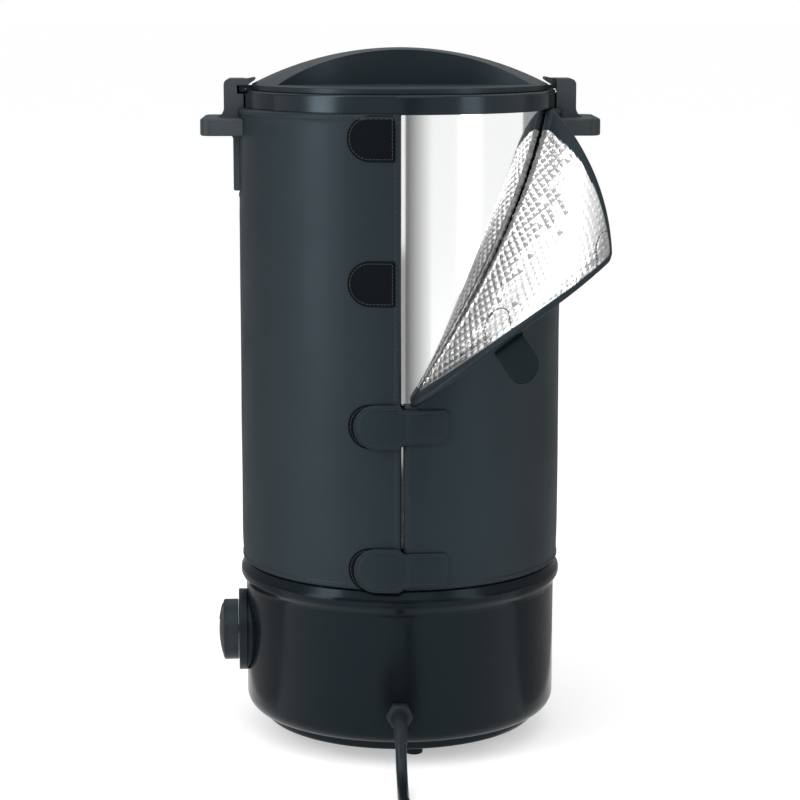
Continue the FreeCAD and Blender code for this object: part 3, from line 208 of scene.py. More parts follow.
class Shader:
    """A principled material, with short calls that feed it and can be chained."""

    def __init__(self, name, metallic=0.0, specular=0.5, tint=(1.0, 1.0, 1.0)):
        self.material = bpy.data.materials.new(name)
        self.material.use_nodes = True
        self.tree = self.material.node_tree
        self.inputs = self.tree.nodes["Principled BSDF"].inputs
        self.inputs["Metallic"].default_value = metallic
        self.inputs["Specular IOR Level"].default_value = specular
        self.inputs["Specular Tint"].default_value = (*tint, 1)
        self.place = add_node(self.tree, "TexCoord").outputs["Object"]
        self.normal = None

    def noise(self, scale, detail, rough=0.55, stretch=None):
        place = self.place
        if stretch:
            place = add_node(self.tree, "Mapping", {"Scale": stretch, "Vector": place}).outputs["Vector"]
        return add_node(self.tree, "TexNoise", {"Scale": scale, "Detail": detail, "Roughness": rough,
                                                "Vector": place}).outputs["Fac"]

    def mixed(self, factor, first, second):
        """Colour between a colour or socket and a colour."""
        return add_node(self.tree, "Mix", {"Factor": factor, "A": first, "B": (*second, 1)},
                        data_type="RGBA").outputs["Result"]

    def blotched(self, scale, detail, dark, light, rim=None):
        """Colour between two by noise, and another colour along convex edges."""
        colour = self.mixed(self.noise(scale, detail), (*dark, 1), light)
        if rim:
            point = add_node(self.tree, "NewGeometry").outputs["Pointiness"]
            colour = self.mixed(map_range(self.tree, point, 0.5, 0.56, 0.0, 1.0), colour, rim)
        self.tree.links.new(colour, self.inputs["Base Color"])
        return self

    def hazy(self, scale, detail, to_low, to_high, low=0.3, high=0.7, **noise):
        """Roughness between two by a noise that runs from low to high."""
        rough = map_range(self.tree, self.noise(scale, detail, **noise), low, high, to_low, to_high)
        self.tree.links.new(rough, self.inputs["Roughness"])
        return self

    def bump(self, height, strength, depth):
        """Adds a bump on top of the bumps so far."""
        values = {"Strength": strength, "Distance": depth, "Height": height}
        if self.normal is not None:
            values["Normal"] = self.normal
        self.normal = add_node(self.tree, "Bump", values).outputs["Normal"]
        self.tree.links.new(self.normal, self.inputs["Normal"])
        return self

    def grain(self, scale, detail, strength, depth, **noise):
        """Bumps from noise."""
        return self.bump(self.noise(scale, detail, **noise), strength, depth)

    def cells(self, scale, strength, depth, feature="F1"):
        """Bumps from round cells."""
        node = add_node(self.tree, "TexVoronoi", {"Scale": scale, "Vector": self.place}, feature=feature)
        return self.bump(node.outputs["Distance"], strength, depth)


def gloss_black(name, specular):
    """Gloss enamel of the base and the rim band, with slight orange peel and handling haze."""
    look = Shader(name, specular=specular, tint=COOL)
    look.blotched(9, 4, (0.003, 0.0045, 0.006), (0.005, 0.0075, 0.01))
    look.hazy(26, 5, 0.15, 0.27, 0.35, 0.75, rough=0.6)
    return look.grain(420, 2, 0.05, 0.0004).grain(2600, 1, 0.02, 0.0001)


def satin_black():
    """Satin coating of the lid."""
    look = Shader("satin_black", specular=0.27, tint=COOL)
    look.blotched(12, 4, (0.009, 0.014, 0.017), (0.014, 0.02, 0.025))
    return look.hazy(34, 5, 0.27, 0.4, 0.3, 0.75).grain(1500, 2, 0.08, 0.0002)


def handle_plastic():
    """Spark-eroded black plastic of the handles."""
    look = Shader("handle_plastic", specular=0.28, tint=(0.85, 0.94, 1.0))
    look.blotched(40, 4, (0.016, 0.02, 0.023), (0.023, 0.028, 0.032), rim=(0.045, 0.053, 0.058))
    return look.hazy(120, 4, 0.42, 0.56).cells(2200, 0.16, 0.00025).grain(5200, 2, 0.12, 0.00012)


def dial_plastic():
    """Semi-gloss black of the knob, its plate and the tap's lever."""
    look = Shader("dial_plastic", specular=0.15, tint=COOL)
    look.blotched(60, 3, (0.008, 0.011, 0.013), (0.014, 0.018, 0.021), rim=(0.03, 0.036, 0.04))
    return look.hazy(150, 4, 0.26, 0.4).grain(3600, 2, 0.08, 0.00015)


def coated_fabric(name, dark, light, rough_low, rough_high, grain=1.0, specular=0.24):
    """Black coated fabric with a fine leather grain and soft buckles."""
    look = Shader(name, specular=specular, tint=COOL).blotched(14, 4, dark, light)
    look.hazy(22, 5, rough_low, rough_high, 0.3, 0.72).grain(18, 3, 0.1, 0.004)
    look.cells(1250, 0.16 * grain, 0.0003, "DISTANCE_TO_EDGE")
    return look.grain(3800, 2, 0.08 * grain, 0.0001)


def wrap_vinyl():
    """Skin of the padded wrap."""
    return coated_fabric("wrap_vinyl", (0.01, 0.015, 0.018), (0.016, 0.023, 0.028), 0.34, 0.46)


def edge_tape():
    """Binding of the wrap's edges."""
    return coated_fabric("edge_tape", (0.01, 0.014, 0.017), (0.015, 0.021, 0.026), 0.36, 0.48, 0.5)


def strap_vinyl():
    """Skin of the straps."""
    return coated_fabric("strap_vinyl", (0.008, 0.012, 0.015), (0.013, 0.019, 0.023), 0.38, 0.5)


def loop_pile():
    """Loop side of the open straps, and the dial's felt."""
    return coated_fabric("loop_pile", (0.006, 0.009, 0.011), (0.011, 0.015, 0.018), 0.7, 0.9, 3.0, 0.15)


def hook_pile():
    """Hook side of the patches."""
    return coated_fabric("hook_pile", (0.003, 0.004, 0.005), (0.006, 0.007, 0.009), 0.75, 0.92, 3.0, 0.06)


def thread():
    """Black polyester sewing thread."""
    look = Shader("thread", specular=0.4).blotched(900, 2, (0.01, 0.012, 0.014), (0.03, 0.034, 0.04))
    return look.hazy(500, 2, 0.4, 0.6).grain(6000, 1, 0.2, 0.0001)


def foil(name, rough_low, rough_high, dark, light, patch):
    """Aluminised lining film, a little crinkled, with patches of two greys."""
    look = Shader(name, metallic=1.0).blotched(patch, 4, (dark,) * 3, (light,) * 3)
    look.hazy(150, 4, rough_low, rough_high)
    return look.grain(380, 3, 0.12, 0.0006).grain(1500, 2, 0.06, 0.0002)


def polished_steel():
    """Mirror-polished stainless steel with faint drawing lines."""
    look = Shader("polished_steel", metallic=1.0).blotched(5, 3, (0.9, 0.905, 0.91), (0.94, 0.945, 0.95))
    look.hazy(6, 4, 0.06, 0.12, 0.35, 0.75, stretch=(14, 14, 0.8))
    return look.grain(3, 2, 0.05, 0.004, stretch=(3, 3, 0.5))


def plain_steel():
    """Zinc-plated and plain stainless small parts."""
    look = Shader("plain_steel", metallic=1.0).blotched(45, 4, (0.48, 0.49, 0.5), (0.62, 0.63, 0.64))
    return look.hazy(160, 4, 0.24, 0.42).grain(900, 3, 0.05, 0.0002)


def tap_chrome():
    """Polished stainless steel of the tap."""
    look = Shader("tap_chrome", metallic=1.0).blotched(30, 4, (0.72, 0.73, 0.74), (0.8, 0.81, 0.82))
    return look.hazy(90, 5, 0.09, 0.2).grain(700, 2, 0.03, 0.0002)


def cast_aluminium():
    """As-cast aluminium of the heater plate."""
    look = Shader("cast_aluminium", metallic=1.0).blotched(25, 5, (0.52, 0.53, 0.54), (0.66, 0.67, 0.68))
    return look.hazy(240, 4, 0.38, 0.58).grain(1200, 4, 0.2, 0.0003)


def black_rubber():
    """Moulded rubber of the feet, the strain relief and the plug."""
    look = Shader("black_rubber", specular=0.25, tint=COOL)
    look.blotched(50, 4, (0.006, 0.008, 0.01), (0.011, 0.014, 0.016), rim=(0.022, 0.027, 0.03))
    return look.hazy(140, 4, 0.47, 0.63).grain(2400, 2, 0.12, 0.0002)


def cord_sheath():
    """Satin PVC sheath of the mains lead."""
    look = Shader("cord_sheath", specular=0.3, tint=COOL)
    look.blotched(30, 4, (0.006, 0.008, 0.01), (0.01, 0.012, 0.014))
    return look.hazy(90, 4, 0.3, 0.44).grain(1800, 2, 0.06, 0.0002)


def printed_marks():
    """White print on the dial plate."""
    look = Shader("printed_marks", specular=0.4).blotched(400, 3, (0.6, 0.6, 0.58), (0.78, 0.78, 0.76))
    look.inputs["Roughness"].default_value = 0.55
    return look


def silicone():
    """Translucent grey silicone of the seals."""
    look = Shader("silicone", specular=0.4).blotched(60, 3, (0.48, 0.48, 0.47), (0.57, 0.57, 0.56))
    look.inputs["Subsurface Weight"].default_value = 0.3
    look.inputs["Subsurface Radius"].default_value = (0.003, 0.003, 0.003)
    return look.hazy(200, 3, 0.36, 0.5).grain(1500, 2, 0.05, 0.0002)


def ceramic():
    """Off-white steatite of the terminal block."""
    look = Shader("ceramic").blotched(120, 4, (0.7, 0.68, 0.62), (0.79, 0.77, 0.72))
    return look.hazy(300, 3, 0.28, 0.46).grain(2500, 2, 0.08, 0.0001)


def copper():
    """Sensor bulb and capillary tube."""
    look = Shader("copper", metallic=1.0).blotched(70, 5, (0.58, 0.31, 0.19), (0.8, 0.5, 0.35))
    return look.hazy(220, 3, 0.22, 0.4).grain(1200, 2, 0.05, 0.0001)


def paint_cad_nodes(materials):
    """Give every CAD node its detailed material, by the record's slot for it."""
    slots = {part["node"]: part["material_slot"] for part in frame["record"]["subparts"]}
    for name, part in nodes_of.items():
        for material_slot in part.material_slots:
            material_slot.material = materials["band_black" if name == "rim_band" else slots[name]]


# ---- sizes of the model, in millimetres
WRAP_R = 100.0  # outside of the padded wrap
WRAP_HALF = 2.3  # half its thickness
WRAP_LOW, WRAP_HIGH = 112.3, 396.9
PUFF, PUFF_REACH = 0.3, 14.0  # how far its padding swells the skin, and over what width from the tape
WAVE_REACH = 8.0  # width over which its buckles set in
HEM_LOW, HEM_CLIMB, HEM_OUT = 390.0, 5.0, 0.9  # where the top hem starts, its rise and bulge
SLIT_RIGHT, SLIT_LEFT = -88.8, 270.52  # degrees, the two edges of the wrap's opening
HANDLE_ANGLES = (1.0, 181.0)
NOTCH_HALF = 7.354  # degrees
NOTCH_LOW = 345.1
TAP_HOLE = (90.0, 136.0, 16.5)  # degrees, height, radius
FOLD_FOOT = (-85.18, 225.6)  # degrees, height
FOLD_HEAD = (-21.5, 395.0)
FLAP_HALF = 2.0
FLAP_LIFT = 1.3  # of the flap's middle over the wrap, at the fold
CORNER_DROP = (30.0, -45.3, -84.0)  # from the fold's head to the corner's tip
SLIT_EDGE_BOW = (3.0, -34.0, 4.0)  # how far the middle of its slit edge bows out
TOP_EDGE_BOW = (6.5, -5.0, 6.5)  # and of its top edge
LEG_A, LEG_B = 169.4, 117.5  # flat lengths of the corner's slit edge and top edge
TIP_R = 7.0  # of the corner's rounded tip
BEND = 6.0  # flat width of the fold's bend
BEND_PULL = 2.4  # how far it swings out
BEND_SHADE_FROM = 2.5  # where the painted shade of the bend starts: dark foil from here on
TUCK = 3.0  # how far the bend runs on inside the wrap
CELL = 4.6  # pitch of the foil's embossed cells
TAPE = 3.8  # width of the edge binding on the black side
TAPE_FOIL = 6.6  # and on the foil side
TAPE_SEAM = 1.1  # its stitches, from the tape's inner edge
SLOT_MARGIN = 0.2  # between the tape's step and its colour
STRAP_HEIGHTS = (382.6, 297.8, 212.7, 125.5)
STRAP_LEFT, STRAP_RIGHT = -26.75, 29.75
STRAP_WIDTH, STRAP_END_WIDTH = 27.0, 21.0
STRAP_HALF = 0.9
STRAP_SEAM = 2.1  # from the strap's edge
STRAP_FREE, STRAP_ROOT = 28.0, 26.0  # lengths of an open strap's two parts
EDGE_GAP = 0.5  # from the corner's edge to where an open strap starts to hang
SEWN_REACH = (24.0, 27.0)  # of the open straps' stitches, from that edge
UPPER_DROOP, LOWER_DROOP = (0.0, 0.0, -1.5), (0.0, 0.0, -2.0)  # sag of the open straps' free ends
UPPER_HANG = (-0.1, 1.0, -0.3)  # which way the upper open strap's free end points
LOWER_SHIFT = -4.0  # of the lower open strap along the slit edge, towards the top
PATCH_LEFT, PATCH_RIGHT = -30.6, -2.8
PATCH_HALF = 0.45
PATCH_SEAM = 1.5
KNOB_Z, KNOB_ANGLE, KNOB_RANGE = 63.5, 184.0, 270
DIAL_FACE = 102.7  # from the tank's axis
FELT_FACE = 103.75  # clear of the knob's skirt
FELT_IN, FELT_OUT = 14.6, 18.9  # the felt ring's radii
INSET_SLACK = 0.96  # a point that lies this share of its inset from the edge is kept
MARK_LONG, MARK_SHORT, MARK_OUTER = 20.7, 21.5, 22.4  # radii of the marks' ends


# ---- flat patterns
def rounded(corners, step=0.8):
    """Outline of (x, y, radius) corners, with an arc at each rounded one."""
    outline = []
    for i, (x, y, radius) in enumerate(corners):
        here = Vector((x, y))
        if radius == 0:
            outline.append((x, y))
            continue
        back = (Vector(corners[i - 1][:2]) - here).normalized()
        ahead = (Vector(corners[(i + 1) % len(corners)][:2]) - here).normalized()
        half = back.angle(ahead) / 2
        centre = here + (back + ahead).normalized() * (radius / math.sin(half))
        start = here + back * (radius / math.tan(half)) - centre
        end = here + ahead * (radius / math.tan(half)) - centre
        sweep = math.atan2(start.cross(end), start.dot(end))
        count = max(2, round(radius * abs(sweep) / step))
        outline += [tuple(centre + Matrix.Rotation(sweep * k / count, 2) @ start) for k in range(count + 1)]
    return outline


def dotted(corners, step, closed=True):
    """Points at even steps along a line of corners."""
    ends = corners[1:] + corners[:1] if closed else corners[1:]
    points = []
    for start, end in zip(corners, ends):
        start, end = np.array(start), np.array(end)
        count = max(1, round(np.linalg.norm(end - start) / step))
        points += [start + (end - start) * k / count for k in range(count)]
    if not closed:
        points.append(np.array(corners[-1]))
    return np.array(points)


def distance_to(points, lines):
    """Distance of each point from the nearest of some lines."""
    best = np.full(len(points), 1e9)
    for line in lines:
        for start, end in zip(line[:-1], line[1:]):
            along = end - start
            share = ((points - start) @ along) / max(along @ along, 1e-12)
            nearest = start + np.clip(share, 0, 1)[:, None] * along
            best = np.minimum(best, np.linalg.norm(points - nearest, axis=1))
    return best


def inside(points, loops):
    """Whether each point lies inside the first loop and outside the others."""
    x, y = points.T
    found = np.zeros(len(points), bool)
    for loop in loops:
        for (x1, y1), (x2, y2) in zip(loop, np.roll(loop, -1, axis=0)):
            if y1 != y2:
                found ^= ((y1 > y) != (y2 > y)) & (x < (x2 - x1) * (y - y1) / (y2 - y1) + x1)
    return found


def closed_line(loop):
    return np.vstack([loop, loop[:1]])


def moved_in(loop, inset):
    """A loop's points, moved inwards."""
    ahead = np.roll(loop, -1, axis=0) - np.roll(loop, 1, axis=0)
    inward = np.stack([-ahead[:, 1], ahead[:, 0]], axis=1) / np.linalg.norm(ahead, axis=1)[:, None]
    return loop + inward * inset


def inset_line(loop, inset):
    """Closed line that runs inside a loop, at an inset from it."""
    moved = moved_in(loop, inset)
    near = distance_to(moved, [closed_line(loop)])
    return closed_line(moved[near > inset * INSET_SLACK])


def filled(loops, lattice, insets, clear):
    """Points and triangles over an outline (the first loop) less its holes, with rows of points inside the
    edge, and each point's distance from the edge."""
    lines = [closed_line(loop) for loop in loops]
    rows = [(moved_in(loop, inset), inset) for loop in loops for inset in insets]
    points = np.vstack([row for row, inset in rows] + [lattice])
    wanted = np.concatenate([np.full(len(row), inset * INSET_SLACK) for row, inset in rows]
                            + [np.full(len(lattice), insets[-1] + clear)])
    keep = (distance_to(points, lines) >= wanted) & inside(points, loops)
    edges = []
    first = 0
    for loop in loops:
        edges += [(first + i, first + (i + 1) % len(loop)) for i in range(len(loop))]
        first += len(loop)
    corners = np.vstack(loops + [points[keep]])
    made = delaunay_2d_cdt([Vector(p) for p in corners], edges, [], 0, 1e-5)
    spots = np.array([tuple(p) for p in made[0]])
    faces = np.array(made[2])
    return spots, faces[inside(spots[faces].mean(axis=1), loops)], distance_to(spots, lines)


def lattice_over(loop, step):
    """Even square lattice over a loop's box, with a point at the origin."""
    (x0, y0), (x1, y1) = loop.min(axis=0), loop.max(axis=0)
    xs = np.arange(math.floor(x0 / step), math.ceil(x1 / step) + 1) * step
    ys = np.arange(math.floor(y0 / step), math.ceil(y1 / step) + 1) * step
    return np.stack(np.meshgrid(xs, ys), axis=-1).reshape(-1, 2)


# ---- sheets with thickness
def eased(value):
    value = np.clip(value, 0.0, 1.0)
    return value * value * (3 - 2 * value)


def bell(value, middle, height, width):
    """Smooth bump of a height around a middle value."""
    return height * np.exp(-((value - middle) / width) ** 2)


def unit(vectors):
    return vectors / np.maximum(np.linalg.norm(vectors, axis=-1), 1e-9)[..., None]


def run_along(line):
    """Distance of each point of a line from its start, along the line."""
    return np.concatenate([[0], np.cumsum(np.linalg.norm(np.diff(line, axis=0), axis=1))])


def spots_at(line, run, places):
    """Points of a line at some distances from its start."""
    return [np.array([np.interp(at, run, column) for column in line.T]) for at in places]


def pillow(distance, half):
    """Half thickness of a sheet with a rounded edge."""
    return half * np.sqrt(1 - (1 - np.clip(distance / half, 0, 1)) ** 2)


def tape_step(distance, width, rise=0.35):
    """Extra height of the binding tape that lies over a sheet's edge, with a pressed-in row of stitches."""
    raised = rise * (1 - eased((distance - width + 0.4) / 0.4))
    return raised - bell(distance, width - TAPE_SEAM, 0.28, 0.32)


def add_mesh(name, points, faces, materials, face_slots=None):
    """Smooth-shaded piece of the pot, from points in millimetres."""
    mesh = bpy.data.meshes.new(name)
    mesh.from_pydata((np.asarray(points) * MM).tolist(), [], [tuple(int(i) for i in face) for face in faces])
    for material in materials:
        mesh.materials.append(material)
    if face_slots is not None:
        mesh.polygons.foreach_set("material_index", np.asarray(face_slots, dtype=np.int32))
    mesh.polygons.foreach_set("use_smooth", np.ones(len(mesh.polygons), bool))
    mesh.update()
    piece = link_object(name, mesh)
    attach(piece, "pot")
    return piece


def ring_faces(rows, count, closed=False):
    """Quads between rings of so many points, and from the last ring to the first where closed."""
    faces = []
    for row in range(rows if closed else rows - 1):
        low, high = row * count, (row + 1) % rows * count
        faces += [(low + k, low + (k + 1) % count, high + (k + 1) % count, high + k) for k in range(count)]
    return faces


def add_sheet(name, pattern, place, front, back, materials, slot_of=None):
    """Closed sheet over a flat pattern. Its two faces meet at the pattern's rim."""
    spots, triangles, distance = pattern
    rim = distance < 1e-4
    below = np.arange(len(spots))
    below[~rim] = len(spots) + np.arange((~rim).sum())
    points = np.vstack([place(spots, front), place(spots, -back)[~rim]])
    faces = np.vstack([triangles, below[triangles][:, ::-1]])
    centres = np.tile(spots[triangles].mean(axis=1), (2, 1))
    outer = np.repeat([True, False], len(triangles))
    return add_mesh(name, points, faces, materials, slot_of and slot_of(centres, outer))


def stitches(line, pitch, width, length=2.0, lift=0.24):
    """Thread stitches along a flat line: flat points, heights and faces."""
    run = run_along(line)
    profile = ((-1, 0.3), (-0.7, 0.8), (0, 1.0), (0.7, 0.8), (1, 0.3))  # share of the length, and size
    turns = np.radians((0, 45, 90, 135, 180))
    spots, heights, faces = [], [], []
    for middle in np.arange(pitch / 2, run[-1], pitch):
        here, ahead, behind = spots_at(line, run, (middle, middle + 0.2, middle - 0.2))
        along = (ahead - behind) / max(np.linalg.norm(ahead - behind), 1e-9)
        side = np.array([-along[1], along[0]])
        first = len(spots)
        for share, size in profile:
            for turn in turns:
                spots.append(here + along * share * length / 2 + side * math.cos(turn) * size * width / 2)
                heights.append(lift * size * math.sin(turn) - 0.3 * (1 - size))
        corners = [first + row * 5 + k for row in range(4) for k in range(4)]
        faces += [(a, a + 5, a + 6, a + 1) for a in corners]
    return np.array(spots), np.array(heights), faces


def add_stitches(name, lines, place, materials, pitch, width=0.5):
    """One object of the stitches along several flat lines, lying on a surface."""
    points, faces = [], []
    first = 0
    for line in lines:
        spots, heights, some = stitches(line, pitch, width)
        points.append(place(spots, heights))
        faces += [[first + i for i in face] for face in some]
        first += len(spots)
    return add_mesh(name, np.vstack(points), faces, [materials["thread"]])


# ---- mains lead
CORD_D = 6.8 * MM
GLAND_MOUTH = (0.0, -0.0993, 0.0352)
CORD_ROUTE = [GLAND_MOUTH, (0.0001, -0.1105, 0.0352), (0.0005, -0.1185, 0.0304), (0.0007, -0.123, 0.0235),
              (0.0009, -0.128, 0.0148), (0.0014, -0.136, 0.0076), (0.0019, -0.148, 0.004),
              (0.0024, -0.168, 0.0035), (0.012, -0.194, 0.0035), (0.032, -0.212, 0.0035),
              (0.041, -0.234, 0.0035)]
COIL_CENTRE = (0.0, -0.244)
COIL_R = 0.0376  # at the middle of the turns
TURN_POINTS = 20
# turns done, then the lay in cord radii: outwards from the middle of the turns, and up
COIL_LAY = [(0.0, 1, 1), (0.7, 1, 1), (1.0, -1, 1), (1.7, -1, 1), (2.0, -1, 3), (3.0, -1, 3), (3.3, 1, 3),
            (4.0, 1, 3)]
TAIL = [(0.0412, -0.252, 0.0103), (0.0398, -0.272, 0.0105), (0.0372, -0.290, 0.0115), (0.036, -0.304, 0.0125)]
SLEEVE_FROM, SLEEVE_TO = 5.5, 27.5  # along the lead, in millimetres
SLEEVE_STEP = 0.5
# places along the lead and radii, in millimetres
SLEEVE_PROFILE = [(SLEEVE_FROM, 4.3), (SLEEVE_FROM + 1.6, 4.3), (SLEEVE_TO - 1.2, 3.85),
                  (SLEEVE_TO - 0.5, 3.8), (SLEEVE_TO - 0.1, 3.65), (SLEEVE_TO, 3.42)]


def coil_points():
    """Turns of the coil, clockwise from above: two below, from the outside in, then two above."""
    points = []
    for i in range(int(COIL_LAY[-1][0] * TURN_POINTS) + 1):
        turn = i / TURN_POINTS
        before, after = next(pair for pair in zip(COIL_LAY, COIL_LAY[1:]) if turn <= pair[1][0])
        share = eased((turn - before[0]) / (after[0] - before[0]))
        out, up = (a + (b - a) * share for a, b in zip(before[1:], after[1:]))
        radius = COIL_R + out * CORD_D / 2
        angle = -2 * math.pi * turn
        points.append((COIL_CENTRE[0] + radius * math.cos(angle), COIL_CENTRE[1] + radius * math.sin(angle),
                       up * CORD_D / 2))
    return points


def cord_curve(name, points, radius):
    """NURBS curve through the neighbourhood of its control points, with a round section."""
    data = bpy.data.curves.new(name, "CURVE")
    data.dimensions = "3D"
    data.bevel_depth = radius
    data.bevel_resolution = 8
    data.resolution_u = 8
    data.use_fill_caps = True
    spline = data.splines.new("NURBS")
    spline.points.add(len(points) - 1)
    for point, place in zip(spline.points, points):
        point.co = (*place, 1)
    spline.order_u = 3
    spline.use_endpoint_u = True
    return link_object(name, data)


def route_points(curve):
    """Points along a curve's own line, from a copy of it that has no bevel."""
    bare = curve.copy()
    bare.data = curve.data.copy()
    bare.data.bevel_depth = 0
    mesh = bpy.data.meshes.new_from_object(bare)
    points = np.array([vertex.co[:] for vertex in mesh.vertices])
    bpy.data.objects.remove(bare)
    return points


def add_strain_relief(cord, materials):
    """Tapered rubber sleeve moulded round the lead where it leaves the gland."""
    line = route_points(cord)
    run = run_along(line) / MM
    places, radii = zip(*SLEEVE_PROFILE)
    steps = np.unique(np.concatenate([np.arange(SLEEVE_FROM, SLEEVE_TO, SLEEVE_STEP), places]))
    turns = np.radians(np.arange(0, 360, 10))
    points = []
    for at in steps:
        middle, after, before = spots_at(line, run, (at, at + 0.8, at - 0.8))
        side = unit(np.cross(unit(after - before), (1.0, 0.0, 0.0)))
        over = np.cross(unit(after - before), side)
        radius = np.interp(at, places, radii) * MM
        points += [middle + radius * (math.cos(turn) * side + math.sin(turn) * over) for turn in turns]
    count = len(turns)
    ends = [tuple(range(count))[::-1], tuple(range(len(points) - count, len(points)))]
    return add_mesh("strain_relief", np.array(points) / MM, ring_faces(len(steps), count) + ends,
                    [materials["rubber_black"]])


def add_cord(materials):
    """Mains lead from the strain relief, down to the floor and into its coil and plug."""
    cord = cord_curve("mains_lead", CORD_ROUTE + coil_points() + TAIL, CORD_D / 2)
    cord.data.materials.append(materials["cord_black"])
    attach(cord, "pot")
    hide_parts("mains_cord", "cord_coil")
    sleeve = add_strain_relief(cord, materials)


# ---- wrap
def around_tank(radius, angle, z):
    """Points on a cylinder about the tank's axis."""
    return np.stack([radius * np.cos(angle), radius * np.sin(angle), np.broadcast_to(z, np.shape(angle))],
                    axis=-1)


def wrap_outline():
    """The wrap's flat pattern: its edge, and the hole for the tap. Along it is the arc at the outside."""
    def across(degrees):
        return math.radians(degrees) * WRAP_R
    corners = [(SLIT_RIGHT, WRAP_LOW), (SLIT_LEFT, WRAP_LOW), (SLIT_LEFT, WRAP_HIGH)]
    for middle in reversed(HANDLE_ANGLES):
        corners += [(middle + NOTCH_HALF, WRAP_HIGH), (middle + NOTCH_HALF, NOTCH_LOW),
                    (middle - NOTCH_HALF, NOTCH_LOW), (middle - NOTCH_HALF, WRAP_HIGH)]
    corners += [(FOLD_HEAD[0], WRAP_HIGH), FOLD_HEAD, FOLD_FOOT, (SLIT_RIGHT, FOLD_FOOT[1])]
    edge = dotted([(across(degrees), z) for degrees, z in corners], 1.3)
    degrees, z, radius = TAP_HOLE
    turns = np.radians(np.arange(0, 360, 5))
    hole = np.stack([across(degrees) + radius * np.cos(turns), z - radius * np.sin(turns)], axis=1)
    return [edge, hole]


def wrap_waves(spots):
    """Soft buckles of the padded fabric."""
    arc, z = spots.T
    slow = np.sin(arc / 21 + z / 60) * np.sin(z / 33 + 1.3) + 0.6 * np.sin(arc / 47 - z / 25 + 2.0)
    fast = np.sin(arc / 9 + 0.8 * np.sin(z / 22)) * np.sin(z / 13 + arc / 40)
    return 0.16 * slow + 0.07 * fast


def on_wrap(spots, lift):
    """Places on the wrap, lifted off the middle of its thickness. Its top hem stands out a little."""
    arc, z = spots.T
    hem = HEM_OUT * eased((z - HEM_LOW) / HEM_CLIMB)
    return around_tank(WRAP_R - WRAP_HALF + hem + lift, arc / WRAP_R, z)


def add_wrap(materials):
    """Padded wrap with bound edges round the slit, the top, the handle notches and the tap hole."""
    loops = wrap_outline()
    lattice = lattice_over(loops[0], 3.2)
    pattern = filled(loops, lattice, (0.12, 0.5, 1.1, 1.8, 2.3, 2.7, 3.1, 3.45, 3.8, 4.6, 6.0), 1.6)
    spots, _, distance = pattern
    puffed = (PUFF * eased((distance - TAPE) / PUFF_REACH)
              + wrap_waves(spots) * eased((distance - TAPE) / WAVE_REACH))
    back = pillow(distance, WRAP_HALF)
    front = back + tape_step(distance, TAPE) * eased(distance / 1.5) + puffed
    # The lining side is the foil painted darker, as shade where it lies against the tank.
    skin, binding, lining = range(3)

    def slot_of(centres, outer):
        taped = distance_to(centres, [closed_line(loop) for loop in loops]) < TAPE - SLOT_MARGIN
        return np.where(taped, binding, np.where(outer, skin, lining))

    wrap = add_sheet("padded_wrap", pattern, on_wrap, front, back,
                     [materials[look] for look in ("wrap_black", "tape", "foil_lining_shade")], slot_of)
    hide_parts("jacket_wrap")
    add_stitches("wrap_stitches", [inset_line(loop, TAPE - TAPE_SEAM) for loop in loops],
                 lambda flat, lift: on_wrap(flat, WRAP_HALF + 0.1 + lift), materials, pitch=3.0)


# ---- folded corner
def arc_through(start, middle, end):
    """Circular arc through three points, as a function of an array of shares."""
    start, middle, end = (np.array(p, float) for p in (start, middle, end))
    u, v = middle - start, end - start
    w = np.cross(u, v)
    centre = start + (u @ u * np.cross(v, w) + v @ v * np.cross(w, u)) / (2 * w @ w)
    first = start - centre
    side = np.cross(w / np.linalg.norm(w), first)
    last = end - centre
    sweep = math.atan2(last @ side, last @ first) % (2 * math.pi)
    return lambda share: (centre + np.cos(sweep * share)[..., None] * first
                          + np.sin(sweep * share)[..., None] * side)


def fold_point(share, radius):
    """Places along the fold line, which climbs evenly round the wrap."""
    (foot, low), (head, high) = FOLD_FOOT, FOLD_HEAD
    return around_tank(radius, np.radians(foot + (head - foot) * share), low + (high - low) * share)


FOOT, HEAD = (fold_point(np.array(share), WRAP_R) for share in (0.0, 1.0))
CORNER = HEAD + np.array(CORNER_DROP)
SLIT_EDGE = arc_through(FOOT, (FOOT + CORNER) / 2 + np.array(SLIT_EDGE_BOW), CORNER)
TOP_EDGE = arc_through(HEAD, (HEAD + CORNER) / 2 + np.array(TOP_EDGE_BOW), CORNER)
FLAP_REACH = LEG_A * LEG_B / math.hypot(LEG_A, LEG_B)  # flat distance from the fold to the corner


def corner_surface(out, across):
    """Places on the folded corner, by shares: out from the fold, and across from the slit edge."""
    low, high = SLIT_EDGE(out), TOP_EDGE(out)
    swell = fold_point(across, WRAP_R + FLAP_LIFT) - (FOOT + (HEAD - FOOT) * across[:, None])
    return low + (high - low) * across[:, None] + swell * ((1 - out) ** 0.7)[:, None]


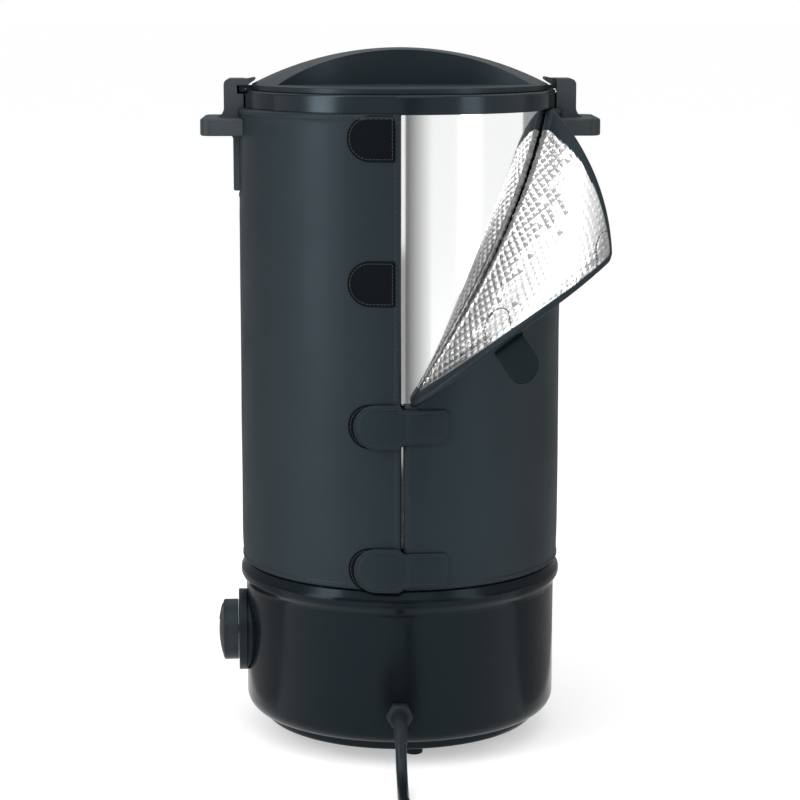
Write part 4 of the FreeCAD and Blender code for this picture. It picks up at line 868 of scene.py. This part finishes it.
def flap_middle(flat):
    """Middle of the folded corner over flat distances from its tip: along the slit edge, along the top edge.
    Past the fold it bends round and runs down into the wrap."""
    a, b = flat[:, 0] / LEG_A, flat[:, 1] / LEG_B
    total = np.maximum(a + b, 1e-6)
    across = np.clip(b / total, 0, 1)
    places = corner_surface(1 - np.minimum(total, 1), across)
    past = (total - 1) * FLAP_REACH
    bent = past > 0
    if bent.any():
        t = across[bent]
        start = corner_surface(np.zeros(len(t)), t)
        out = unit(corner_surface(np.full(len(t), 0.015), t) - start)
        root = fold_point(t, WRAP_R - WRAP_HALF)
        line = unit(fold_point(t + 0.01, WRAP_R) - fold_point(t - 0.01, WRAP_R))
        up = np.cross(unit(root * (1, 1, 0)), line)
        up = up * np.sign(up[:, 2])[:, None]
        w = np.clip(past[bent] / BEND, 0, 1)[:, None]
        curve = (start * (1 - w) ** 3 + 3 * (start - out * BEND_PULL) * w * (1 - w) ** 2
                 + 3 * (root + up * BEND_PULL) * w ** 2 * (1 - w) + root * w ** 3)
        places[bent] = curve - up * np.maximum(past[bent] - BEND, 0)[:, None]
    return places


def on_flap(flat, lift):
    """Places on the folded corner, lifted off its middle towards the lining."""
    step = 0.4
    along_a = flap_middle(flat + (step, 0)) - flap_middle(flat - (step, 0))
    along_b = flap_middle(flat + (0, step)) - flap_middle(flat - (0, step))
    normal = unit(np.cross(along_b, along_a))
    return flap_middle(flat) + normal * np.broadcast_to(lift, (len(flat),))[:, None]


def flap_outline():
    """The corner's flat pattern, with a rounded tip at the origin."""
    stretch = 1 + (BEND + TUCK) / FLAP_REACH
    corners = [(0, 0, TIP_R), (LEG_A * stretch, 0, 0), (0, LEG_B * stretch, 0)]
    return dotted(rounded(corners), 1.0)


def bound_edge(inset=0.0):
    """Line along the corner's two bound edges, round its tip."""
    tip = rounded([(inset, inset, TIP_R - inset * 0.6), (LEG_A + BEND, inset, 0), (inset, LEG_B + BEND, 0)])
    arc = [p for p in tip if max(p) < 3 * TIP_R]
    return dotted([(inset, LEG_B + BEND)] + arc + [(LEG_A + BEND, inset)], 1.0, closed=False)


def strap_seat(height):
    """Flat distance of a strap's middle from the corner's tip, along the slit edge."""
    return LEG_A * (FOLD_HEAD[1] - height) / (FOLD_HEAD[1] - FOLD_FOOT[1])


def sewn_outline(seat, reach):
    """U of stitches that holds the root of a strap."""
    half = STRAP_END_WIDTH / 2 - 1.5
    turns = np.radians(np.arange(0, 181, 10))
    bow = [(seat + half * math.cos(t), reach - half + half * math.sin(t)) for t in turns]
    return dotted([(seat + half, 1.0)] + bow + [(seat - half, 1.0)], 1.0, closed=False)


def foil_cells(flat):
    """Embossed pyramids of the foil lining."""
    x, y = ((flat / CELL + 0.5) % 1.0 - 0.5).T
    return 0.5 - np.maximum(np.abs(x), np.abs(y))


# The last three looks are darker copies of the foil: painted shade in the fold's bend, and on the facets that
# face right or down.
FLAP_LOOKS = ("foil", "tape", "wrap_black", "foil_fold_shade", "foil_facet_shade", "foil_half_shade")
BRIGHT, BINDING, SKIN, BEND_SHADE, FACET_SHADE, HALF_SHADE = range(6)  # their slots


def facet_slots(flat):
    """Slots of the foil's facets. Those that face right get a lighter painted shade, and near the fold most
    of those that face right or down get a darker painted shade."""
    cell = np.floor(flat / CELL + 0.5)
    x, y = (flat / CELL - cell).T
    from_fold = (1 - flat @ (1 / LEG_A, 1 / LEG_B)) * FLAP_REACH
    chance = (np.sin(cell @ (12.9898, 78.233)) * 43758.5453) % 1.0
    right, low = x > np.abs(y), -y > np.abs(x)
    in_shade = (right | low) & (chance < bell(from_fold, 0.0, 1.25, 20.0))
    return np.where(in_shade, FACET_SHADE, np.where(right, HALF_SHADE, BRIGHT))


def foil_tape(flat):
    """Width of the binding on the foil side: it gathers where the top edge meets the fold."""
    return TAPE_FOIL + bell(np.linalg.norm(flat - (0.0, LEG_B), axis=1), 0.0, 7.5, 30.0)


def add_flap(materials):
    """Folded-back corner of the wrap: quilted foil outwards, black skin behind, bound edges."""
    outline = flap_outline()
    lattice = lattice_over(outline, CELL / (4))
    pattern = filled([outline], lattice, (0.12, 0.45, 1.0, 1.6, 2.1), 0.4)
    spots, _, distance = pattern
    edge = bound_edge()
    bound = distance_to(spots, [edge])
    sewn = [sewn_outline(strap_seat(height), reach) for height, reach in zip(STRAP_HEIGHTS, SEWN_REACH)]
    taped = foil_tape(spots)
    emboss = foil_cells(spots) * eased((bound - taped) / 1.2)
    front = (pillow(distance, FLAP_HALF) + tape_step(bound, taped, 0.5) * eased(distance / 1.5)
             + emboss * eased(distance / 3.0) - bell(distance_to(spots, sewn), 0.0, 0.3, 0.5))
    back = pillow(distance, FLAP_HALF) + tape_step(bound, TAPE) * eased(distance / 1.5)

    def slot_of(centres, outer):
        near = distance_to(centres, [edge])
        past_fold = (centres @ (1 / LEG_A, 1 / LEG_B) - 1) * FLAP_REACH
        # Past the bend's start the foil is painted dark as shade; before it the facets carry painted shade.
        foil_side = np.where(past_fold > BEND_SHADE_FROM, BEND_SHADE, facet_slots(centres))
        lining = np.where(near < foil_tape(centres) - SLOT_MARGIN, BINDING, foil_side)
        return np.where(outer, lining, np.where(near < TAPE - SLOT_MARGIN, BINDING, SKIN))

    flap = add_sheet("folded_corner", pattern, on_flap, front, back, [materials[look] for look in FLAP_LOOKS],
                     slot_of)
    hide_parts("jacket_flap")
    add_stitches("corner_stitches", [bound_edge(TAPE_FOIL - TAPE_SEAM)] + sewn,
                 lambda flat, lift: on_flap(flat, FLAP_HALF + 0.15 + lift), materials,
                 pitch=2.3, width=0.75)


# ---- straps and patches
def facing(flat, height, radius):
    """Places on a cylinder, flat x to the right of its foremost line and flat z up from a height."""
    x, z = flat.T
    return around_tank(radius, np.arcsin(x / WRAP_R) - math.pi / 2, z + height)


def half_round(x, half):
    """Two corners that make a strap's end half-round, from the first point round to the second."""
    return [(x, -half, half * 0.98), (x, half, half * 0.98)]


def closed_strap_corners():
    """Tongue with a half-round left end, and a narrower right part with rounded corners."""
    wide, narrow = STRAP_WIDTH / 2, STRAP_END_WIDTH / 2
    middle = (STRAP_LEFT + STRAP_RIGHT) / 2
    first, last = half_round(STRAP_LEFT, wide)
    return [first, (middle - 2, -wide, 2.0), (middle + 1, -narrow, 2.0), (STRAP_RIGHT, -narrow, 5.0),
            (STRAP_RIGHT, narrow, 5.0), (middle + 1, narrow, 2.0), (middle - 2, wide, 2.0), last]


def strap_pattern(corners):
    """Outline and filled pattern of a strap, with rows of points for its rounded edge and its seam."""
    outline = dotted(rounded(corners), 0.9)
    insets = (0.06, 0.2, 0.45, 0.75, STRAP_HALF, 1.4, 1.8, STRAP_SEAM, 2.4, 2.8)
    return outline, filled([outline], lattice_over(outline, 1.7), insets, 0.8)


def sewn_face(distance, puff):
    """Height of a strap's sewn face, pressed in along its seam."""
    return (pillow(distance, STRAP_HALF) + puff * eased((distance - STRAP_SEAM - 0.3) / 3)
            - bell(distance, STRAP_SEAM, 0.3, 0.35))


def add_closed_strap(name, height, materials, seed):
    """Strap over the slit: sewn down on the right, on its patch on the left."""
    outline, pattern = strap_pattern(closed_strap_corners())
    spots, _, distance = pattern

    def place(flat, lift):
        x, z = flat.T
        up = 0.95 * (1 - eased((x - 3.6) / 2.6)) + 0.25 * eased((-x - 19.0) / 9.0)
        sag = 0.12 * np.sin(x / 6.5 + seed) * np.sin(z / 8.0 + 2 * seed)
        return facing(flat, height, WRAP_R + 0.5 + STRAP_HALF + up + sag + lift)

    front = sewn_face(distance, 0.12) - bell(spots[:, 0], 4.4, 0.25, 0.5)
    strap = add_sheet(name, pattern, place, front, pillow(distance, STRAP_HALF), [materials["strap"]])
    add_stitches(name + "_stitches", [inset_line(outline, STRAP_SEAM)],
                 lambda flat, lift: place(flat, STRAP_HALF + lift - 0.1), materials, pitch=2.4)
    return strap


def add_open_strap(name, height, materials, droop, shift=0.0, hang=None):
    """Strap whose root is sewn behind the folded corner and whose free end hangs off its slit edge."""
    seat = strap_seat(height) + shift
    first, last = half_round(-STRAP_FREE, STRAP_END_WIDTH / 2)
    pattern = strap_pattern([first] + half_round(STRAP_ROOT, STRAP_END_WIDTH / 2) + [last])[1]
    distance = pattern[2]

    here, inner, after, before = on_flap(
        np.array([(seat, EDGE_GAP), (seat, 20.0), (seat - 4, EDGE_GAP), (seat + 4, EDGE_GAP)]), 0.0)
    edge = after - before
    behind = unit(np.cross(edge, inner - here))
    behind = behind * np.sign(behind[1])
    out = unit(np.cross(behind, edge))
    out = out * -np.sign(out @ (inner - here))
    if hang:
        out = unit(np.array(hang) - edge * (edge @ hang) / (edge @ edge))

    def place(flat, lift):
        x, y = flat.T
        root = np.stack([seat + y, np.maximum(x, EDGE_GAP)], axis=1)
        free = np.maximum(EDGE_GAP - x, 0)[:, None]
        return (on_flap(root, -(FLAP_HALF + 0.6 + STRAP_HALF) + lift) + out * free
                + np.array(droop) * (free / STRAP_FREE) ** 2)

    strap = add_sheet(name, pattern, place, pillow(distance, STRAP_HALF), sewn_face(distance, 0.1),
                      [materials["strap_loop"], materials["strap"]],
                      lambda centres, outer: np.where(outer, 0, 1))
    return strap


def add_straps(materials):
    """Two closed straps and two open ones."""
    closed = [add_closed_strap(f"closed_strap_{number}", STRAP_HEIGHTS[number - 1], materials, number)
              for number in (3, 4)]
    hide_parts("closed_straps")
    upper = add_open_strap("open_strap_1", STRAP_HEIGHTS[0], materials, UPPER_DROOP, hang=UPPER_HANG)
    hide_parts("open_strap_upper")
    lower = add_open_strap("open_strap_2", STRAP_HEIGHTS[1], materials, LOWER_DROOP, shift=LOWER_SHIFT)
    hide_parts("open_strap_lower")


def add_patches(materials):
    """Hook patches on the left of the slit, half-round at their left end."""
    half = STRAP_WIDTH / 2
    first, last = half_round(PATCH_LEFT, half)
    outline = dotted(rounded([first, (PATCH_RIGHT, -half, 1.0), (PATCH_RIGHT, half, 1.0), last]), 0.9)
    pattern = filled([outline], lattice_over(outline, 1.5), (0.05, 0.2, 0.5, 0.9, 1.3, 1.6, 1.9, 2.4), 0.7)
    back = pillow(pattern[2], PATCH_HALF)
    pile = back - bell(pattern[2], PATCH_SEAM, 0.25, 0.3)
    for number, height in enumerate(STRAP_HEIGHTS, 1):
        def place(flat, lift, height=height):
            return facing(flat, height, WRAP_R + 0.6 + lift)
        patch = add_sheet(f"hook_patch_{number}", pattern, place, pile, back, [materials["hook_black"]])
        if number == 1:
            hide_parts("hook_patches")
        add_stitches(f"hook_patch_{number}_stitches", [inset_line(outline, PATCH_SEAM)],
                     lambda flat, lift, place=place: place(flat, 0.35 + lift), materials,
                     pitch=2.2)


# ---- dial
def at_knob(points):
    """Points given with x outwards, turned to the knob's side of the base."""
    x, y, z = np.array(points).T
    turned = math.radians(KNOB_ANGLE)
    return np.stack([x * math.cos(turned) - y * math.sin(turned), x * math.sin(turned) + y * math.cos(turned),
                     z], axis=1)


def on_dial(out, radius, side, turn):
    """Point out from the tank's axis, at a radius on the dial and a step sideways, turned from its top."""
    return (out, radius * math.sin(turn) + side * math.cos(turn),
            KNOB_Z + radius * math.cos(turn) - side * math.sin(turn))


def add_dial_marks(materials):
    """Marks on the dial plate over the knob's turn, longer at every thirty degrees."""
    points, faces = [], []
    for degrees in range(0, KNOB_RANGE + 1, 10):
        low, half = (MARK_LONG, 0.28) if degrees % 30 == 0 else (MARK_SHORT, 0.18)
        first = len(points)
        points += [on_dial(out, radius, side, math.radians(degrees))
                   for out in (DIAL_FACE - 0.05, DIAL_FACE + 0.06)
                   for radius, side in ((low, -half), (MARK_OUTER, -half), (MARK_OUTER, half), (low, half))]
        ends = [(first, first + 3, first + 2, first + 1), tuple(range(first + 4, first + 8))]
        faces += ends + [[first + i for i in face] for face in ring_faces(2, 4)]
    add_mesh("dial_marks", at_knob(points), faces, [materials["marks"]])


def add_dial_felt(materials):
    """Felt ring on the dial plate, behind the knob's skirt."""
    profile = [(FELT_IN, DIAL_FACE - 0.1), (FELT_OUT - 0.2, DIAL_FACE - 0.1), (FELT_OUT, DIAL_FACE + 0.2),
               (FELT_OUT, FELT_FACE - 0.15), (FELT_OUT - 0.2, FELT_FACE), (FELT_IN + 0.3, FELT_FACE),
               (FELT_IN, FELT_FACE - 0.15)]
    turns = np.radians(np.arange(0, 360, 4))
    points = [on_dial(out, radius, 0.0, turn) for radius, out in profile for turn in turns]
    faces = [face[::-1] for face in ring_faces(len(profile), len(turns), closed=True)]
    add_mesh("dial_felt", at_knob(points), faces, [materials["strap_loop"]])


# ---- build
def all_materials():
    """The materials: those named as in the record's slots, and those of single pieces."""
    looks = dict(
        polished_steel=polished_steel(),
        steel_parts=plain_steel(),
        base_black=gloss_black("gloss_black", 0.17),
        band_black=gloss_black("band_black", 0.4),
        lid_black=satin_black(),
        handle_black=handle_plastic(),
        dial_black=dial_plastic(),
        wrap_black=wrap_vinyl(),
        tape=edge_tape(),
        strap=strap_vinyl(),
        strap_loop=loop_pile(),
        thread=thread(),
        foil=foil("foil_lining", 0.16, 0.28, 0.87, 0.94, 60.0),
        # The next four foils are the lining foil painted darker, as shade: the wrap's back against the tank,
        # facets that face right, facets near the fold, and the fold's bend.
        foil_lining_shade=foil("foil_back_shade", 0.2, 0.34, 0.42, 0.5, 60.0),
        foil_half_shade=foil("foil_half_shade", 0.2, 0.32, 0.62, 0.74, 60.0),
        foil_facet_shade=foil("foil_facet_shade", 0.24, 0.4, 0.2, 0.45, 300.0),
        foil_fold_shade=foil("foil_fold_shade", 0.2, 0.34, 0.02, 0.3, 220.0),
        marks=printed_marks(),
        hook_black=hook_pile(),
        silicone=silicone(),
        rubber_black=black_rubber(),
        cord_black=cord_sheath(),
        aluminium=cast_aluminium(),
        tap_steel=tap_chrome(),
        tap_black=dial_plastic(),
        ceramic=ceramic(),
        copper=copper())
    return {name: look.material for name, look in looks.items()}


def main():
    bpy.context.scene.view_settings.view_transform = "Standard"
    add_camera()
    add_studio()
    materials = all_materials()
    paint_cad_nodes(materials)
    for add in (add_cord, add_wrap, add_flap, add_straps, add_patches, add_dial_marks, add_dial_felt):
        add(materials)


main()
